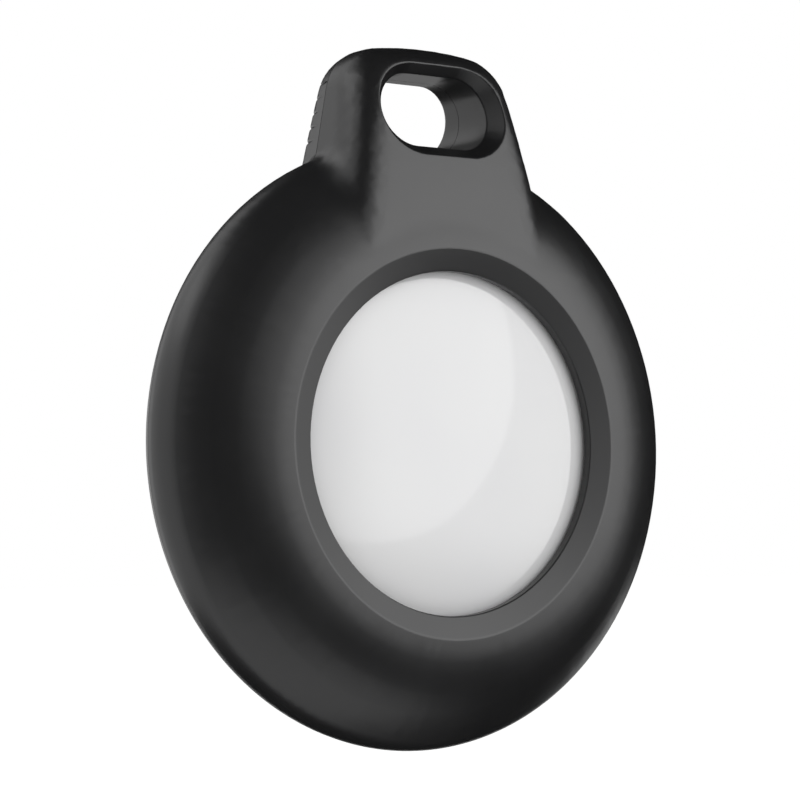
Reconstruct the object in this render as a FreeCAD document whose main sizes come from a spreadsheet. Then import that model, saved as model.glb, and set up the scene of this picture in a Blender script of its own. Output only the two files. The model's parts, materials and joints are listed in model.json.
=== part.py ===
import FreeCAD, Part
import os
import re
import Sketcher

# Tracker tag holder: a round two-piece case with a key-ring lug, closed by a twist thread round the tag.
# The disc axis lies along Y and the front faces -Y. Lengths are in millimetres, angles in degrees.
SIZES = {
    # Outside of the round tag, whose dome looks out of the front window
    "tag_front": 4.85,
    "tag_dome_rise": 2.507,
    "tag_rim": 3.2,
    "tag_edge_round": 1.9,
    "tag_wall": 1.0,
    "tag_rear_round": 0.8,
    "tag_clearance": 0.2,
    # Disc of the holder: rim, windows and raised edges round them
    "rim_wall": 2.85,
    "rim_round": 2.6,
    "parting_depth": 0.5,
    "parting_gap": 0.04,
    "window_overlap": 4.8,
    "bevel_width": 1.5,
    "bevel_depth": 0.5,
    "front_guard": 0.15,
    "front_lean": 5.0,
    "back_guard": 1.25,
    "back_face_width": 1.9,
    "back_lean": 10.0,
    "cut_overrun": 1.2,
    "edge_margin": 0.03,
    # Twist thread: skirt of the front shell, its catches and their tracks in the rear shell
    "skirt_wall": 1.0,
    "skirt_length": 1.75,
    "skirt_lead_in": 0.2,
    "socket_clearance": 0.12,
    "catch_height": 0.7,
    "catch_proud": 0.6,
    "catch_end_wall": 0.25,
    "catch_angle": 14.0,
    "catch_count": 3,
    "track_clearance": 0.14,
    "track_spare_angle": 3.0,
    "thread_lead": 12.0,
    "twist_angle": 60.0,
    # Key-ring lug: outline, faces, slot and grip ribs
    "slot_sink": 0.6,
    "slot_length": 8.5,
    "slot_width": 4.9,
    "slot_flare_width": 0.8,
    "slot_flare_depth": 1.05,
    "lug_side_wall": 2.5,
    "lug_top_wall": 1.95,
    "lug_side_taper": 10.6,
    "lug_crown_angle": 7.0,
    "lug_corner_round": 3.4,
    "lug_foot_sink": 1.65,
    "lug_root_length": 1.1,
    "lug_stock": 7.0,
    "lug_face_sink": 0.17,
    "lug_front_top_depth": 2.4,
    "lug_front_round": 2.2,
    "lug_back_top_depth": 2.1,
    "lug_back_round": 1.8,
    "lug_back_draft": 10.0,
    "lug_round_share": 1.12,
    "lug_crease_round": 1.0,
    "rib_count": 5,
    "rib_pitch": 0.95,
    "rib_mouth": 0.5,
    "rib_angle": 60.0,
    "rib_lean": 25.0,
    "rib_from_parting": 0.55,
    # Steel battery cover of the tag and its twist catch
    "cover_bulge": 0.65,
    "cover_thickness": 0.4,
    "cover_step": 0.1,
    "cover_clearance": 0.15,
    "cover_skirt_inset": 0.7,
    "cover_skirt_wall": 0.4,
    "cover_skirt_depth": 1.25,
    "cover_tab_height": 0.4,
    "cover_tab_reach": 0.5,
    "cover_tab_angle": 12.0,
    "cover_notch_spare_angle": 4.0,
    "cover_tab_count": 3,
    "cover_twist": 22.0,
    "pad_radius": 5.0,
    "pad_room": 0.6,
    # Coin cell in the tray of the tag
    "cell_radius": 10.0,
    "cell_thickness": 3.2,
    "cell_can_wall": 0.25,
    "cell_cap_flare": 0.6,
    "cell_cap_shoulder": 0.45,
    "cell_gasket_wall": 0.45,
    "cell_crimp_setback": 0.3,
    "cell_gasket_length": 1.4,
    "cell_seam": 0.05,
    "cathode_thickness": 1.15,
    "separator_thickness": 0.08,
    "electrode_inset": 0.45,
    # Tray, circuit board, speaker and aerials of the tag
    "tray_clearance": 0.25,
    "tray_wall": 1.1,
    "tray_floor": 0.5,
    "tray_wall_drop": 0.25,
    "tray_step_inset": 0.85,
    "tray_step_depth": 1.0,
    "tray_fit": 0.1,
    "contact_room": 0.25,
    "contact_thickness": 0.15,
    "contact_width": 3.0,
    "contact_length": 6.0,
    "side_contact_height": 2.2,
    "side_contact_spread": 140.0,
    "board_thickness": 0.5,
    "board_gap": 0.2,
    "speaker_room": 1.55,
    "chip_height": 0.45,
    "capacitor_length": 0.8,
    "capacitor_width": 0.45,
    "capacitor_height": 0.3,
    "capacitor_inset": 0.9,
    "capacitor_count": 12,
    "capacitor_start": 180.0,
    "capacitor_spread": 150.0,
    "carrier_inset": 2.55,
    "carrier_width": 1.2,
    "carrier_thickness": 0.25,
    "antenna_width": 0.35,
    "antenna_thickness": 0.06,
    "antenna_gap": 0.15,
    "yoke_gap": 0.4,
    "yoke_wall": 0.35,
    "yoke_height": 1.2,
    "magnet_radius": 3.4,
    "magnet_gap": 0.5,
    "magnet_height": 1.0,
    "coil_wall": 0.8,
    "coil_side_gap": 0.55,
    "coil_height": 1.1,
    "coil_gap": 0.06,
}

# Sizes that follow from others, from the coin cell outwards
DERIVED = {
    "cover_radius": "cell_radius + tray_clearance + tray_wall + cover_clearance"
                    " + cover_skirt_wall + cover_skirt_inset",
    "tag_radius": "cover_radius + cover_clearance + tag_rim",
    "tag_thickness": "tag_wall + speaker_room + board_thickness + tray_floor + contact_room + cell_thickness"
                     " + pad_room + cover_thickness",
    "tag_dome_radius": "( tag_radius ^ 2 + tag_dome_rise ^ 2 ) / ( 2 * tag_dome_rise )",
    "lug_half_width": "slot_length / 2 + lug_side_wall",
    "lug_above_slot": "slot_width / 2 + lug_top_wall",
    "cell_cap_radius": "cell_radius - cell_can_wall - 2 * cell_seam - cell_gasket_wall - cell_cap_flare",
    "carrier_outer_radius": "tag_radius - tag_wall - carrier_inset",
    "carrier_inner_radius": "carrier_outer_radius - carrier_width",
    "board_radius": "carrier_inner_radius - board_gap",
    "coil_inner_radius": "magnet_radius + magnet_gap",
    "yoke_radius": "coil_inner_radius + coil_wall + coil_side_gap + yoke_wall",
    "board_hole_radius": "yoke_radius + yoke_gap",
    "chip_ring_radius": "( board_hole_radius + board_radius ) / 2",
    "capacitor_ring_radius": "board_radius - capacitor_inset",
}

# Chips on the circuit board: angle round the board, radial and tangential size
CHIPS = {
    "ranging_chip": (20.0, 3.0, 3.0),
    "bluetooth_chip": (75.0, 3.0, 3.0),
    "flash_chip": (125.0, 2.2, 1.8),
    "audio_amplifier_chip": (165.0, 1.8, 1.8),
    "motion_sensor_chip": (330.0, 2.0, 2.0),
}

# Aerials on the carrier ring: start angle and swept angle
ANTENNAS = {
    "ranging_antenna": (10.0, 80.0),
    "bluetooth_antenna": (130.0, 95.0),
    "near_field_antenna": (255.0, 85.0),
}

doc = FreeCAD.newDocument("tracker_tag_holder")
sheet = doc.addObject("Spreadsheet::Sheet", "Sizes")
CELLS = dict(SIZES)
for chip, (angle, depth, width) in CHIPS.items():
    CELLS[f"{chip}_angle"] = angle
    CELLS[f"{chip}_depth"] = depth
    CELLS[f"{chip}_width"] = width
for antenna, (angle, sweep) in ANTENNAS.items():
    CELLS[f"{antenna}_angle"] = angle
    CELLS[f"{antenna}_sweep"] = sweep
for row, (alias, value) in enumerate(CELLS.items(), start=1):
    sheet.set(f"A{row}", alias)
    sheet.set(f"B{row}", str(value))
    sheet.setAlias(f"B{row}", alias)
doc.recompute()

FULL_TURN = 360.0
parts = []


def with_sheet(formula):
    """The formula with every size in it read from the sheet, and every derived size worked out from those."""
    def read(word):
        name = word[0]
        if name in DERIVED:
            return f"( {with_sheet(DERIVED[name])} )"
        return f"Sizes.{name}" if name in CELLS else name
    return re.sub("[a-z_]+", read, formula)


def bind(thing, **formulas):
    """Ties properties to sheet formulas; a double underscore in a name stands for a dot."""
    for name, formula in formulas.items():
        thing.setExpression(name.replace("__", "."), with_sheet(formula))


def hang(thing, label):
    """Names a finished piece and lowers it, so that the slot's centre is the origin."""
    thing.Label = label
    bind(thing, Placement__Base__z=f"0 - {slot_rise}")
    parts.append(thing)
    return thing


def turned_about(*axis):
    """A placement whose angle about the axis is still to be tied to a size."""
    return FreeCAD.Placement(FreeCAD.Vector(), FreeCAD.Rotation(FreeCAD.Vector(*axis), 0))


def sketch_on(body, role, name):
    plane = next(item for item in body.Origin.OriginFeatures if item.Role == role)
    sketch = body.newObject("Sketcher::SketchObject", name)
    sketch.AttachmentSupport = [(plane, "")]
    sketch.MapMode = "FlatFace"
    return sketch


def mark(sketch, x, y):
    """A construction point held at two formulas."""
    point = sketch.addGeometry(Part.Point(FreeCAD.Vector()), True)
    for kind, formula in (("DistanceX", x), ("DistanceY", y)):
        rule = sketch.addConstraint(Sketcher.Constraint(kind, -1, 1, point, 1, 0.0))
        sketch.setExpression(f"Constraints[{rule}]", with_sheet(formula))
    return point


def draw(sketch, path):
    """Closed outline: (x, y) is a straight run to a point, (x, y, x, y) an arc through a point to another."""
    marks = [[mark(sketch, *entry[i:i + 2]) for i in range(0, len(entry), 2)] for entry in path]
    doc.recompute()
    start = marks[-1][-1]
    for entry in marks:
        end = entry[-1]
        first, last = sketch.getPoint(start, 1), sketch.getPoint(end, 1)
        if len(entry) == 1:
            edge = sketch.addGeometry(Part.LineSegment(first, last))
            ends = (1, 2)
        else:
            middle = sketch.getPoint(entry[0], 1)
            turns_left = (middle - first).cross(last - middle).z > 0
            ends = (1, 2) if turns_left else (2, 1)
            run = (first, middle, last) if turns_left else (last, middle, first)
            edge = sketch.addGeometry(Part.Arc(*run))
            sketch.addConstraint(Sketcher.Constraint("PointOnObject", entry[0], 1, edge))
        sketch.addConstraint(Sketcher.Constraint("Coincident", edge, ends[0], start, 1))
        sketch.addConstraint(Sketcher.Constraint("Coincident", edge, ends[1], end, 1))
        start = end
    return sketch


def turn(body, kind, sketch, name, angle=None):
    """Revolution or groove of a sketch about the disc axis, whole or centred on the sketch."""
    feature = body.newObject(f"PartDesign::{kind}", name)
    feature.Profile = sketch
    feature.ReferenceAxis = (sketch, ["V_Axis"])
    feature.Angle = FULL_TURN
    if angle:
        feature.Midplane = True
        bind(feature, Angle=angle)
    doc.recompute()
    return feature


def polar(body, feature, sketch, count, name):
    pattern = body.newObject("PartDesign::PolarPattern", name)
    pattern.Originals = [feature]
    pattern.Axis = (sketch, ["V_Axis"])
    pattern.Angle = FULL_TURN
    bind(pattern, Occurrences=count)
    body.Tip = pattern
    doc.recompute()
    return pattern


def new_body(label):
    body = doc.addObject("PartDesign::Body", label)
    return hang(body, label)


def turned(label, path):
    """A body made by one outline turned about the disc axis."""
    body = new_body(label)
    turn(body, "Revolution", draw(sketch_on(body, "XY_Plane", f"{label}_outline"), path), f"{label}_turned")
    return body


def cylinder(name, radius, front, back):
    """Solid cylinder on the disc axis between two depths."""
    solid = doc.addObject("Part::Cylinder", name)
    solid.Placement.Rotation = FreeCAD.Rotation(FreeCAD.Vector(1, 0, 0), FULL_TURN / 4)
    bind(solid, Radius=radius, Height=f"{back} - ( {front} )", Placement__Base__y=back)
    return solid


def ring(label, outer, inner, front, back):
    """Flat ring on the disc axis between two depths."""
    cut = doc.addObject("Part::Cut", label)
    cut.Base = cylinder(f"{label}_outer", outer, front, back)
    cut.Tool = cylinder(f"{label}_bore", inner, f"{front} - cut_overrun", f"{back} + cut_overrun")
    return hang(cut, label)


# Places that several pieces share, as formulas of the sheet's sizes
disc_radius = "( tag_radius + tag_clearance + skirt_wall + rim_wall )"
slot_rise = f"( {disc_radius} + slot_width / 2 - slot_sink )"
window_radius = "( tag_radius - window_overlap )"
bevel_radius = f"( {window_radius} + bevel_width )"
front_face = "( 0 - tag_front - front_guard )"
tag_back = "( tag_thickness - tag_front )"
back_face = f"( {tag_back} + back_guard )"
back_face_radius = f"( {bevel_radius} + back_face_width )"
cavity_radius = "( tag_radius + tag_clearance )"
skirt_radius = f"( {cavity_radius} + skirt_wall )"
socket_radius = f"( {skirt_radius} + socket_clearance )"
rim_centre = f"( {disc_radius} - rim_round )"
skirt_end = "( parting_depth + skirt_length )"
rear_parting = "( parting_depth + parting_gap )"
lug_foot = f"( {bevel_radius} - lug_foot_sink )"
lug_root = f"( {lug_foot} - lug_root_length )"
lug_top = f"( {slot_rise} + lug_above_slot )"
cover_edge = f"( {tag_back} - cover_bulge )"
ring_back = f"( {cover_edge} - cover_step )"
cover_dome_radius = "( ( cover_radius ^ 2 + cover_bulge ^ 2 ) / ( 2 * cover_bulge ) )"


def crown(radius, rise, lean):
    """Arc from a face's edge to the rim: its middle, its tangent point on the rim, and the rim's quarter."""
    reach = f"( {rim_centre} - {radius} )"
    over = f"( {reach} ^ 2 + {rise} ^ 2 - rim_round ^ 2 )"
    under = f"( 2 * ( {rise} * cos({lean} * 1 deg ) - {reach} * sin({lean} * 1 deg ) - rim_round ) )"
    curve = f"( {over} / {under} )"
    across = f"( {reach} + {curve} * sin({lean} * 1 deg ) )"
    tilt = f"asin({across} / ( {curve} - rim_round ) )"
    middle = f"( ( {lean} * 1 deg + {tilt} ) / 2 )"
    centre_x = f"( {radius} - {curve} * sin({lean} * 1 deg ) )"
    centre_y = f"( {rise} - {curve} * cos({lean} * 1 deg ) )"
    through = (f"{centre_x} + {curve} * sin({middle} )", f"( {centre_y} + {curve} * cos({middle} ) )")
    tangent = (f"{rim_centre} + rim_round * sin({tilt} )", f"( rim_round * cos({tilt} ) )")
    return through, tangent, tilt


def tag_edge(offset):
    """Tag's front outline moved outwards: dome and edge arcs as middle and end points."""
    dome = f"( tag_dome_radius + {offset} )"
    edge = f"( tag_edge_round + {offset} )"
    edge_x = "( tag_radius - tag_edge_round )"
    reach = "( tag_dome_radius - tag_edge_round )"
    edge_y = f"( tag_dome_radius - tag_front - sqrt({reach} ^ 2 - {edge_x} ^ 2 ) )"
    tilt = f"asin({edge_x} / {reach} )"
    half = f"( ( 90 deg + {tilt} ) / 2 )"
    shoulder = (f"{edge_x} + {edge} * sin({tilt} )", f"{edge_y} - {edge} * cos({tilt} )")
    bend = (f"{edge_x} + {edge} * sin({half} )", f"{edge_y} - {edge} * cos({half} )")
    side = (f"{edge_x} + {edge}", edge_y)
    return dome, shoulder, bend, side


def on_dome(dome, x):
    """Depth of the tag's dome, moved outwards to a given radius of curvature, at a distance from the axis."""
    return f"( tag_dome_radius - tag_front - sqrt({dome} ^ 2 - ( {x} ) ^ 2 ) )"


def slot_path(grow):
    """Round-ended slot about its own centre."""
    run = "( slot_length - slot_width ) / 2"
    half = f"( slot_width / 2 + {grow} )"
    return [
        (run, f"0 - {half}"),
        (f"{run} + {half}", "0", run, half),
        (f"0 - {run}", half),
        (f"0 - {run} - {half}", "0", f"0 - {run}", f"0 - {half}"),
    ]


def lug_outline(body, name, parting):
    """Lug seen from the front, drawn on a shell's parting plane, with tangent corner arcs."""
    sketch = sketch_on(body, "XZ_Plane", name)
    bind(sketch, AttachmentOffset__Base__z=f"0 - {parting}")
    side, crest = "( lug_side_taper * 1 deg )", "( lug_crown_angle * 1 deg )"
    flat = f"( lug_half_width - lug_corner_round / cos({side} ) )"
    rise = f"( tan({crest} / 2 ) * ( {flat} + lug_corner_round * sin({crest} ) ) )"
    drop = f"( 1 - tan({crest} / 2 ) * tan({side} ) )"
    up = f"( ( lug_above_slot - lug_corner_round * cos({crest} ) - {rise} ) / {drop} )"
    out = f"( {flat} - {up} * tan({side} ) )"
    low = f"( lug_half_width + ( {slot_rise} - {lug_root} ) * tan({side} ) )"
    bends = []
    for angle in (side, f"( ( {side} + 90 deg - {crest} ) / 2 )", f"( 90 deg - {crest} )"):
        across = f"( {out} + lug_corner_round * cos({angle} ) )"
        bends.append((across, f"( {slot_rise} + {up} + lug_corner_round * sin({angle} ) )"))
    (x0, z0), (x1, z1), (x2, z2) = bends
    return draw(sketch, [
        (f"0 - {low}", lug_root),
        (low, lug_root),
        (x0, z0),
        (x1, z1, x2, z2),
        ("0", lug_top, f"0 - {x2}", z2),
        (f"0 - {x1}", z1, f"0 - {x0}", z0),
    ])


def pocket(body, sketch, name, both_ways=False, reverse=False, length=None):
    """Cut along a sketch's normal, through everything unless a length is given."""
    feature = body.newObject("PartDesign::Pocket", name)
    feature.Profile = sketch
    feature.Type = "Length" if length else "ThroughAll"
    if length:
        bind(feature, Length=length)
    if both_ways:
        feature.SideType = "Symmetric"
    feature.Reversed = reverse
    doc.recompute()
    return feature


def fillet(body, edges, radius, name):
    base = body.Tip
    feature = body.newObject("PartDesign::Fillet", name)
    feature.Base = (base, edges)
    bind(feature, Radius=radius)
    body.Tip = feature
    doc.recompute()
    return feature


def edge_names(shape, chosen):
    return [f"Edge{number}" for number, edge in enumerate(shape.Edges, start=1) if chosen(edge)]


def lug_face(depth, top_depth):
    """Leaning face of the lug, upright at its foot: depth of the foot, middle of the arc, and its radius."""
    foot = f"( {depth} - lug_face_sink )"
    run = f"( {lug_top} - {lug_foot} )"
    drop = f"( {foot} - {top_depth} )"
    chord = f"sqrt({run} ^ 2 + {drop} ^ 2 )"
    middle = f"( {foot} - {chord} * ( {chord} - {run} ) / ( 2 * {drop} ) )"
    middle_height = f"( {lug_foot} + {chord} / 2 )"
    bend = f"( ( {run} ^ 2 + {drop} ^ 2 ) / ( 2 * {drop} ) )"
    return foot, middle, middle_height, bend


def lug_half(body, side, sign, parting, depth, top_depth, draft, edge_round):
    """Half of the key-ring lug on one side of the parting plane, with its leaning face and rounded edges."""
    stock = body.newObject("PartDesign::Pad", f"{side}_lug_stock")
    stock.Profile = lug_outline(body, f"{side}_lug_outline", parting)
    stock.Reversed = side == "rear"
    bind(stock, Length="lug_stock", TaperAngle=f"0 - {draft}")
    doc.recompute()
    foot, middle, middle_height, _ = lug_face(depth, top_depth)
    beyond = f"{sign} * ( {depth} + lug_stock )"
    trim = draw(sketch_on(body, "YZ_Plane", f"{side}_lug_face"), [
        (beyond, f"{lug_root} - cut_overrun"),
        (f"{sign} * {foot}", f"{lug_root} - cut_overrun"),
        (f"{sign} * {foot}", lug_foot),
        (f"{sign} * {middle}", middle_height, f"{sign} * {top_depth}", lug_top),
        (f"{sign} * {top_depth}", f"{lug_top} + cut_overrun"),
        (beyond, f"{lug_top} + cut_overrun"),
    ])
    cut = pocket(body, trim, f"{side}_lug_trim", both_ways=True)
    curved = [item for item in cut.Shape.Faces if isinstance(item.Surface, Part.Cylinder)]
    rim = max(curved, key=lambda item: item.Area).OuterWire.Edges
    floor = min(edge.BoundBox.ZMin for edge in rim)
    edges = edge_names(cut.Shape, lambda edge: edge.BoundBox.ZMax > floor + sheet.edge_margin
                       and any(edge.isSame(other) for other in rim))
    fillet(body, edges, edge_round, f"{side}_lug_round")


def round_crease(body, side):
    """Rounds the inner corner where the lug's sides and edge rounds run into the disc's crown and rim."""
    shape = body.Tip.Shape
    disc = [item for item in shape.Faces if isinstance(item.Surface, Part.Toroid)]
    lug = [item for item in shape.Faces if isinstance(item.Surface, (Part.Plane, Part.BSplineSurface))]

    def between(edge):
        slanted = edge.BoundBox.YLength > sheet.edge_margin
        return slanted and all(any(edge.isSame(other) for item in faces for other in item.Edges)
                               for faces in (disc, lug))
    fillet(body, edge_names(shape, between), "lug_crease_round", f"{side}_crease_round")


def thread_run(body, kind, name, inner, outer, grow, lead_back, sweep):
    """Helical run about the disc axis that rises towards the front; lead_back starts it before the catch."""
    middle = f"( {skirt_end} - catch_end_wall - catch_height / 2 + thread_lead * {lead_back} / 360 )"
    sketch = sketch_on(body, "XY_Plane", f"{name}_outline")
    sketch.AttachmentOffset = turned_about(0, 1, 0)
    bind(sketch, AttachmentOffset__Rotation__Angle=f"{lead_back} * 1 deg")
    draw(sketch, [
        (inner, f"{middle} - catch_height / 2 - {grow}"),
        (outer, f"{middle} - catch_height / 2 - {grow}"),
        (outer, f"{middle} + catch_height / 2 + {grow}"),
        (inner, f"{middle} + catch_height / 2 + {grow}"),
    ])
    run = body.newObject(f"PartDesign::{kind}Helix", name)
    run.Profile = sketch
    run.ReferenceAxis = (sketch, ["V_Axis"])
    run.Mode = "pitch-turns-angle"
    run.Reversed = True
    bind(run, Pitch="thread_lead", Turns=f"( {sweep} ) / 360")
    doc.recompute()
    return polar(body, run, sketch, "catch_count", f"{name}_set")


def cut_slot(body, side, sign, depth, top_depth):
    """Key-ring slot through one half of the lug, with a mouth that flares along the leaning face."""
    through = sketch_on(body, "XZ_Plane", f"{side}_slot_outline")
    bind(through, AttachmentOffset__Base__y=slot_rise)
    pocket(body, draw(through, slot_path("0")), f"{side}_slot", both_ways=True)
    foot, _, _, bend = lug_face(depth, top_depth)
    lean = f"asin(( {slot_rise} - {lug_foot} ) / {bend} )"
    level = f"( {foot} - {bend} * ( 1 - cos({lean} ) ) )"
    mouth = []
    for step in range(2):
        outline = sketch_on(body, "XZ_Plane", f"{side}_flare_outline_{step}")
        outline.AttachmentOffset = turned_about(1, 0, 0)
        away = f"( {level} + ( 2 * {step} - 1 ) * slot_flare_depth )"
        bind(outline, AttachmentOffset__Base__y=slot_rise,
             AttachmentOffset__Base__z=f"( 0 - {sign} ) * {away}",
             AttachmentOffset__Rotation__Angle=f"{sign} * {lean}")
        mouth.append(draw(outline, slot_path(f"{step} * 2 * slot_flare_width")))
    flare = body.newObject("PartDesign::SubtractiveLoft", f"{side}_flare")
    flare.Profile = mouth[0]
    flare.Sections = mouth[1:]
    flare.Ruled = True
    doc.recompute()


# Front shell: moulded cap with the window, the front half of the lug and the threaded skirt
front_shell = new_body("front_shell")
lug_half(front_shell, "front", "( 0 - 1 )", "parting_depth", f"( 0 - {front_face} )", "lug_front_top_depth",
         "0", "lug_front_round")
through, tangent, _ = crown(bevel_radius, "( tag_front + front_guard )", "front_lean")
parting_radius = f"( {rim_centre} + sqrt(rim_round ^ 2 - parting_depth ^ 2 ) )"
shell = draw(sketch_on(front_shell, "XY_Plane", "front_outline"), [
    ("0", front_face),
    (bevel_radius, front_face),
    (through[0], f"0 - {through[1]}", tangent[0], f"0 - {tangent[1]}"),
    (disc_radius, "0", parting_radius, "parting_depth"),
    (skirt_radius, "parting_depth"),
    (skirt_radius, f"{skirt_end} - skirt_lead_in"),
    (f"{skirt_radius} - skirt_lead_in", skirt_end),
    ("0", skirt_end),
])
turn(front_shell, "Revolution", shell, "front_disc")
round_crease(front_shell, "front")

dome, shoulder, bend, side = tag_edge("tag_clearance")
seat_mid = f"( ( {window_radius} + {shoulder[0]} ) / 2 )"
bevel_end = f"( {bevel_radius} + bevel_width )"
hollow = draw(sketch_on(front_shell, "XY_Plane", "front_hollow_outline"), [
    ("0", f"{front_face} - bevel_depth - cut_overrun"),
    (bevel_end, f"{front_face} - bevel_depth - cut_overrun"),
    (bevel_end, f"{front_face} - bevel_depth"),
    (window_radius, f"{front_face} + bevel_depth"),
    (window_radius, on_dome(dome, window_radius)),
    (seat_mid, on_dome(dome, seat_mid), *shoulder),
    (*bend, *side),
    (cavity_radius, f"{skirt_end} + cut_overrun"),
    ("0", f"{skirt_end} + cut_overrun"),
])
turn(front_shell, "Groove", hollow, "front_hollow")
catch_top = f"( {skirt_radius} + catch_proud )"
thread_run(front_shell, "Additive", "catch", f"{skirt_radius} - skirt_wall / 2", catch_top, "0", "0",
           "catch_angle")
cut_slot(front_shell, "front", "( 0 - 1 )", f"( 0 - {front_face} )", "lug_front_top_depth")

# Rear shell: moulded base with the rear half of the lug, the socket for the skirt and three thread tracks
rear_shell = new_body("rear_shell")
lug_half(rear_shell, "rear", "1", rear_parting, back_face, "lug_back_top_depth",
         "lug_back_draft", f"min(lug_back_round; lug_round_share * ( lug_back_top_depth - {rear_parting} ))")
through, tangent, tilt = crown(back_face_radius, back_face, "back_lean")
half_way = f"( ( asin({rear_parting} / rim_round ) + 90 deg - {tilt} ) / 2 )"
shell = draw(sketch_on(rear_shell, "XY_Plane", "rear_outline"), [
    ("0", rear_parting),
    (f"{rim_centre} + sqrt(rim_round ^ 2 - {rear_parting} ^ 2 )", rear_parting),
    (f"{rim_centre} + rim_round * cos({half_way} )", f"rim_round * sin({half_way} )", *tangent),
    (*through, back_face_radius, back_face),
    ("0", back_face),
])
turn(rear_shell, "Revolution", shell, "rear_disc")
round_crease(rear_shell, "rear")
socket_floor = f"( {skirt_end} + tag_clearance )"
seat = f"( {ring_back} + tag_clearance )"
cover_room = f"( {cover_edge} + tag_clearance )"
cover_rise = f"( cover_bulge * ( 1 - ( {window_radius} / cover_radius ) ^ 2 ) )"
hollow = draw(sketch_on(rear_shell, "XY_Plane", "rear_hollow_outline"), [
    ("0", f"{rear_parting} - cut_overrun"),
    (socket_radius, f"{rear_parting} - cut_overrun"),
    (socket_radius, socket_floor),
    (cavity_radius, socket_floor),
    (cavity_radius, seat),
    ("cover_radius + tag_clearance", seat),
    ("cover_radius + tag_clearance", cover_room),
    (window_radius, f"{cover_room} + {cover_rise}"),
    (window_radius, f"{back_face} - bevel_depth"),
    (bevel_end, f"{back_face} + bevel_depth"),
    (bevel_end, f"{back_face} + bevel_depth + cut_overrun"),
    ("0", f"{back_face} + bevel_depth + cut_overrun"),
])
turn(rear_shell, "Groove", hollow, "rear_hollow")
thread_run(rear_shell, "Subtractive", "track", f"{socket_radius} - skirt_wall / 2",
           f"{catch_top} + track_clearance", "track_clearance", "track_spare_angle",
           "catch_angle + twist_angle + 2 * track_spare_angle")
cut_slot(rear_shell, "rear", "1", back_face, "lug_back_top_depth")
for side, sign in (("right", "1"), ("left", "( 0 - 1 )")):
    ribs = sketch_on(rear_shell, "XZ_Plane", f"{side}_rib_outlines")
    ribs.AttachmentOffset = turned_about(0, 1, 0)
    bind(ribs, AttachmentOffset__Base__x=f"{sign} * lug_half_width", AttachmentOffset__Base__y=slot_rise,
         AttachmentOffset__Base__z=f"0 - {rear_parting} - rib_from_parting",
         AttachmentOffset__Rotation__Angle=f"{sign} * rib_lean * 1 deg")
    for number in range(int(sheet.rib_count)):
        height = f"( {number} - ( rib_count - 1 ) / 2 ) * rib_pitch"
        root = f"( 0 - {height} * tan(lug_side_taper * 1 deg ) )"
        reach = "rib_mouth / ( 2 * tan(rib_angle / 2 * 1 deg ) )"
        draw(ribs, [
            (f"{sign} * {root}", height),
            (f"{sign} * ( {root} + {reach} )", f"{height} + rib_mouth / 2"),
            (f"{sign} * ( {root} + {reach} )", f"{height} - rib_mouth / 2"),
        ])
    pocket(rear_shell, ribs, f"{side}_ribs")

# Tag dome: glossy white cup that forms the front and the side of the tag
dome, shoulder, bend, side = tag_edge("0")
inner_dome, inner_shoulder, inner_bend, inner_side = tag_edge("( 0 - tag_wall )")
rear_bend = "tag_rear_round * ( 1 - cos(45 deg ) )"
half_outer, half_inner = f"( {shoulder[0]} ) / 2", f"( {inner_shoulder[0]} ) / 2"
turned("tag_dome", [
    ("0", "0 - tag_front"),
    (half_outer, on_dome(dome, half_outer), *shoulder),
    (*bend, *side),
    ("tag_radius", f"{ring_back} - tag_rear_round"),
    (f"tag_radius - {rear_bend}", f"{ring_back} - {rear_bend}", "tag_radius - tag_rear_round", ring_back),
    ("tag_radius - tag_wall", ring_back),
    inner_side,
    (*inner_bend, *inner_shoulder),
    (half_inner, on_dome(inner_dome, half_inner), "0", "tag_wall - tag_front"),
])

# Battery tray: moulded insert of the tag with the cell's well and the undercut that the cover's tabs turn in
cell_back = f"( {tag_back} - cover_thickness - pad_room )"
cell_front = f"( {cell_back} - cell_thickness )"
floor_back = f"( {cell_front} - contact_room )"
floor_front = f"( {floor_back} - tray_floor )"
tray_radius = "( tag_radius - tag_wall - tray_fit )"
cover_ledge = f"( {cover_edge} - cover_thickness - cover_clearance )"
cover_skirt_outer = "( cover_radius - cover_skirt_inset )"
cover_skirt_inner = f"( {cover_skirt_outer} - cover_skirt_wall )"
cover_skirt_end = f"( {cover_edge} - cover_thickness - cover_skirt_depth )"
tab_radius = f"( {cover_skirt_outer} + cover_tab_reach )"
tab_back = f"( {cover_skirt_end} + cover_tab_height )"
tray_bore = f"( {cover_skirt_outer} + cover_clearance )"
tray_wall_outer = f"( {cover_skirt_inner} - cover_clearance )"
cell_well = "( cell_radius + tray_clearance )"
battery_tray = turned("battery_tray", [
    ("0", floor_front),
    (f"{tray_radius} - tray_step_inset", floor_front),
    (f"{tray_radius} - tray_step_inset", f"{floor_front} + tray_step_depth"),
    (tray_radius, f"{floor_front} + tray_step_depth"),
    (tray_radius, ring_back),
    ("cover_radius + cover_clearance", ring_back),
    ("cover_radius + cover_clearance", cover_ledge),
    (tray_bore, cover_ledge),
    (tray_bore, f"{tab_back} + cover_clearance"),
    (f"{tab_radius} + cover_clearance", f"{tab_back} + cover_clearance"),
    (f"{tab_radius} + cover_clearance", f"{cover_skirt_end} - cover_clearance"),
    (tray_wall_outer, f"{cover_skirt_end} - cover_clearance"),
    (tray_wall_outer, f"{cell_back} - tray_wall_drop"),
    (cell_well, f"{cell_back} - tray_wall_drop"),
    (cell_well, floor_back),
    ("0", floor_back),
])
entry = sketch_on(battery_tray, "XY_Plane", "tab_entry_outline")
entry.AttachmentOffset = turned_about(0, 1, 0)
bind(entry, AttachmentOffset__Rotation__Angle="cover_twist * 1 deg")
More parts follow.
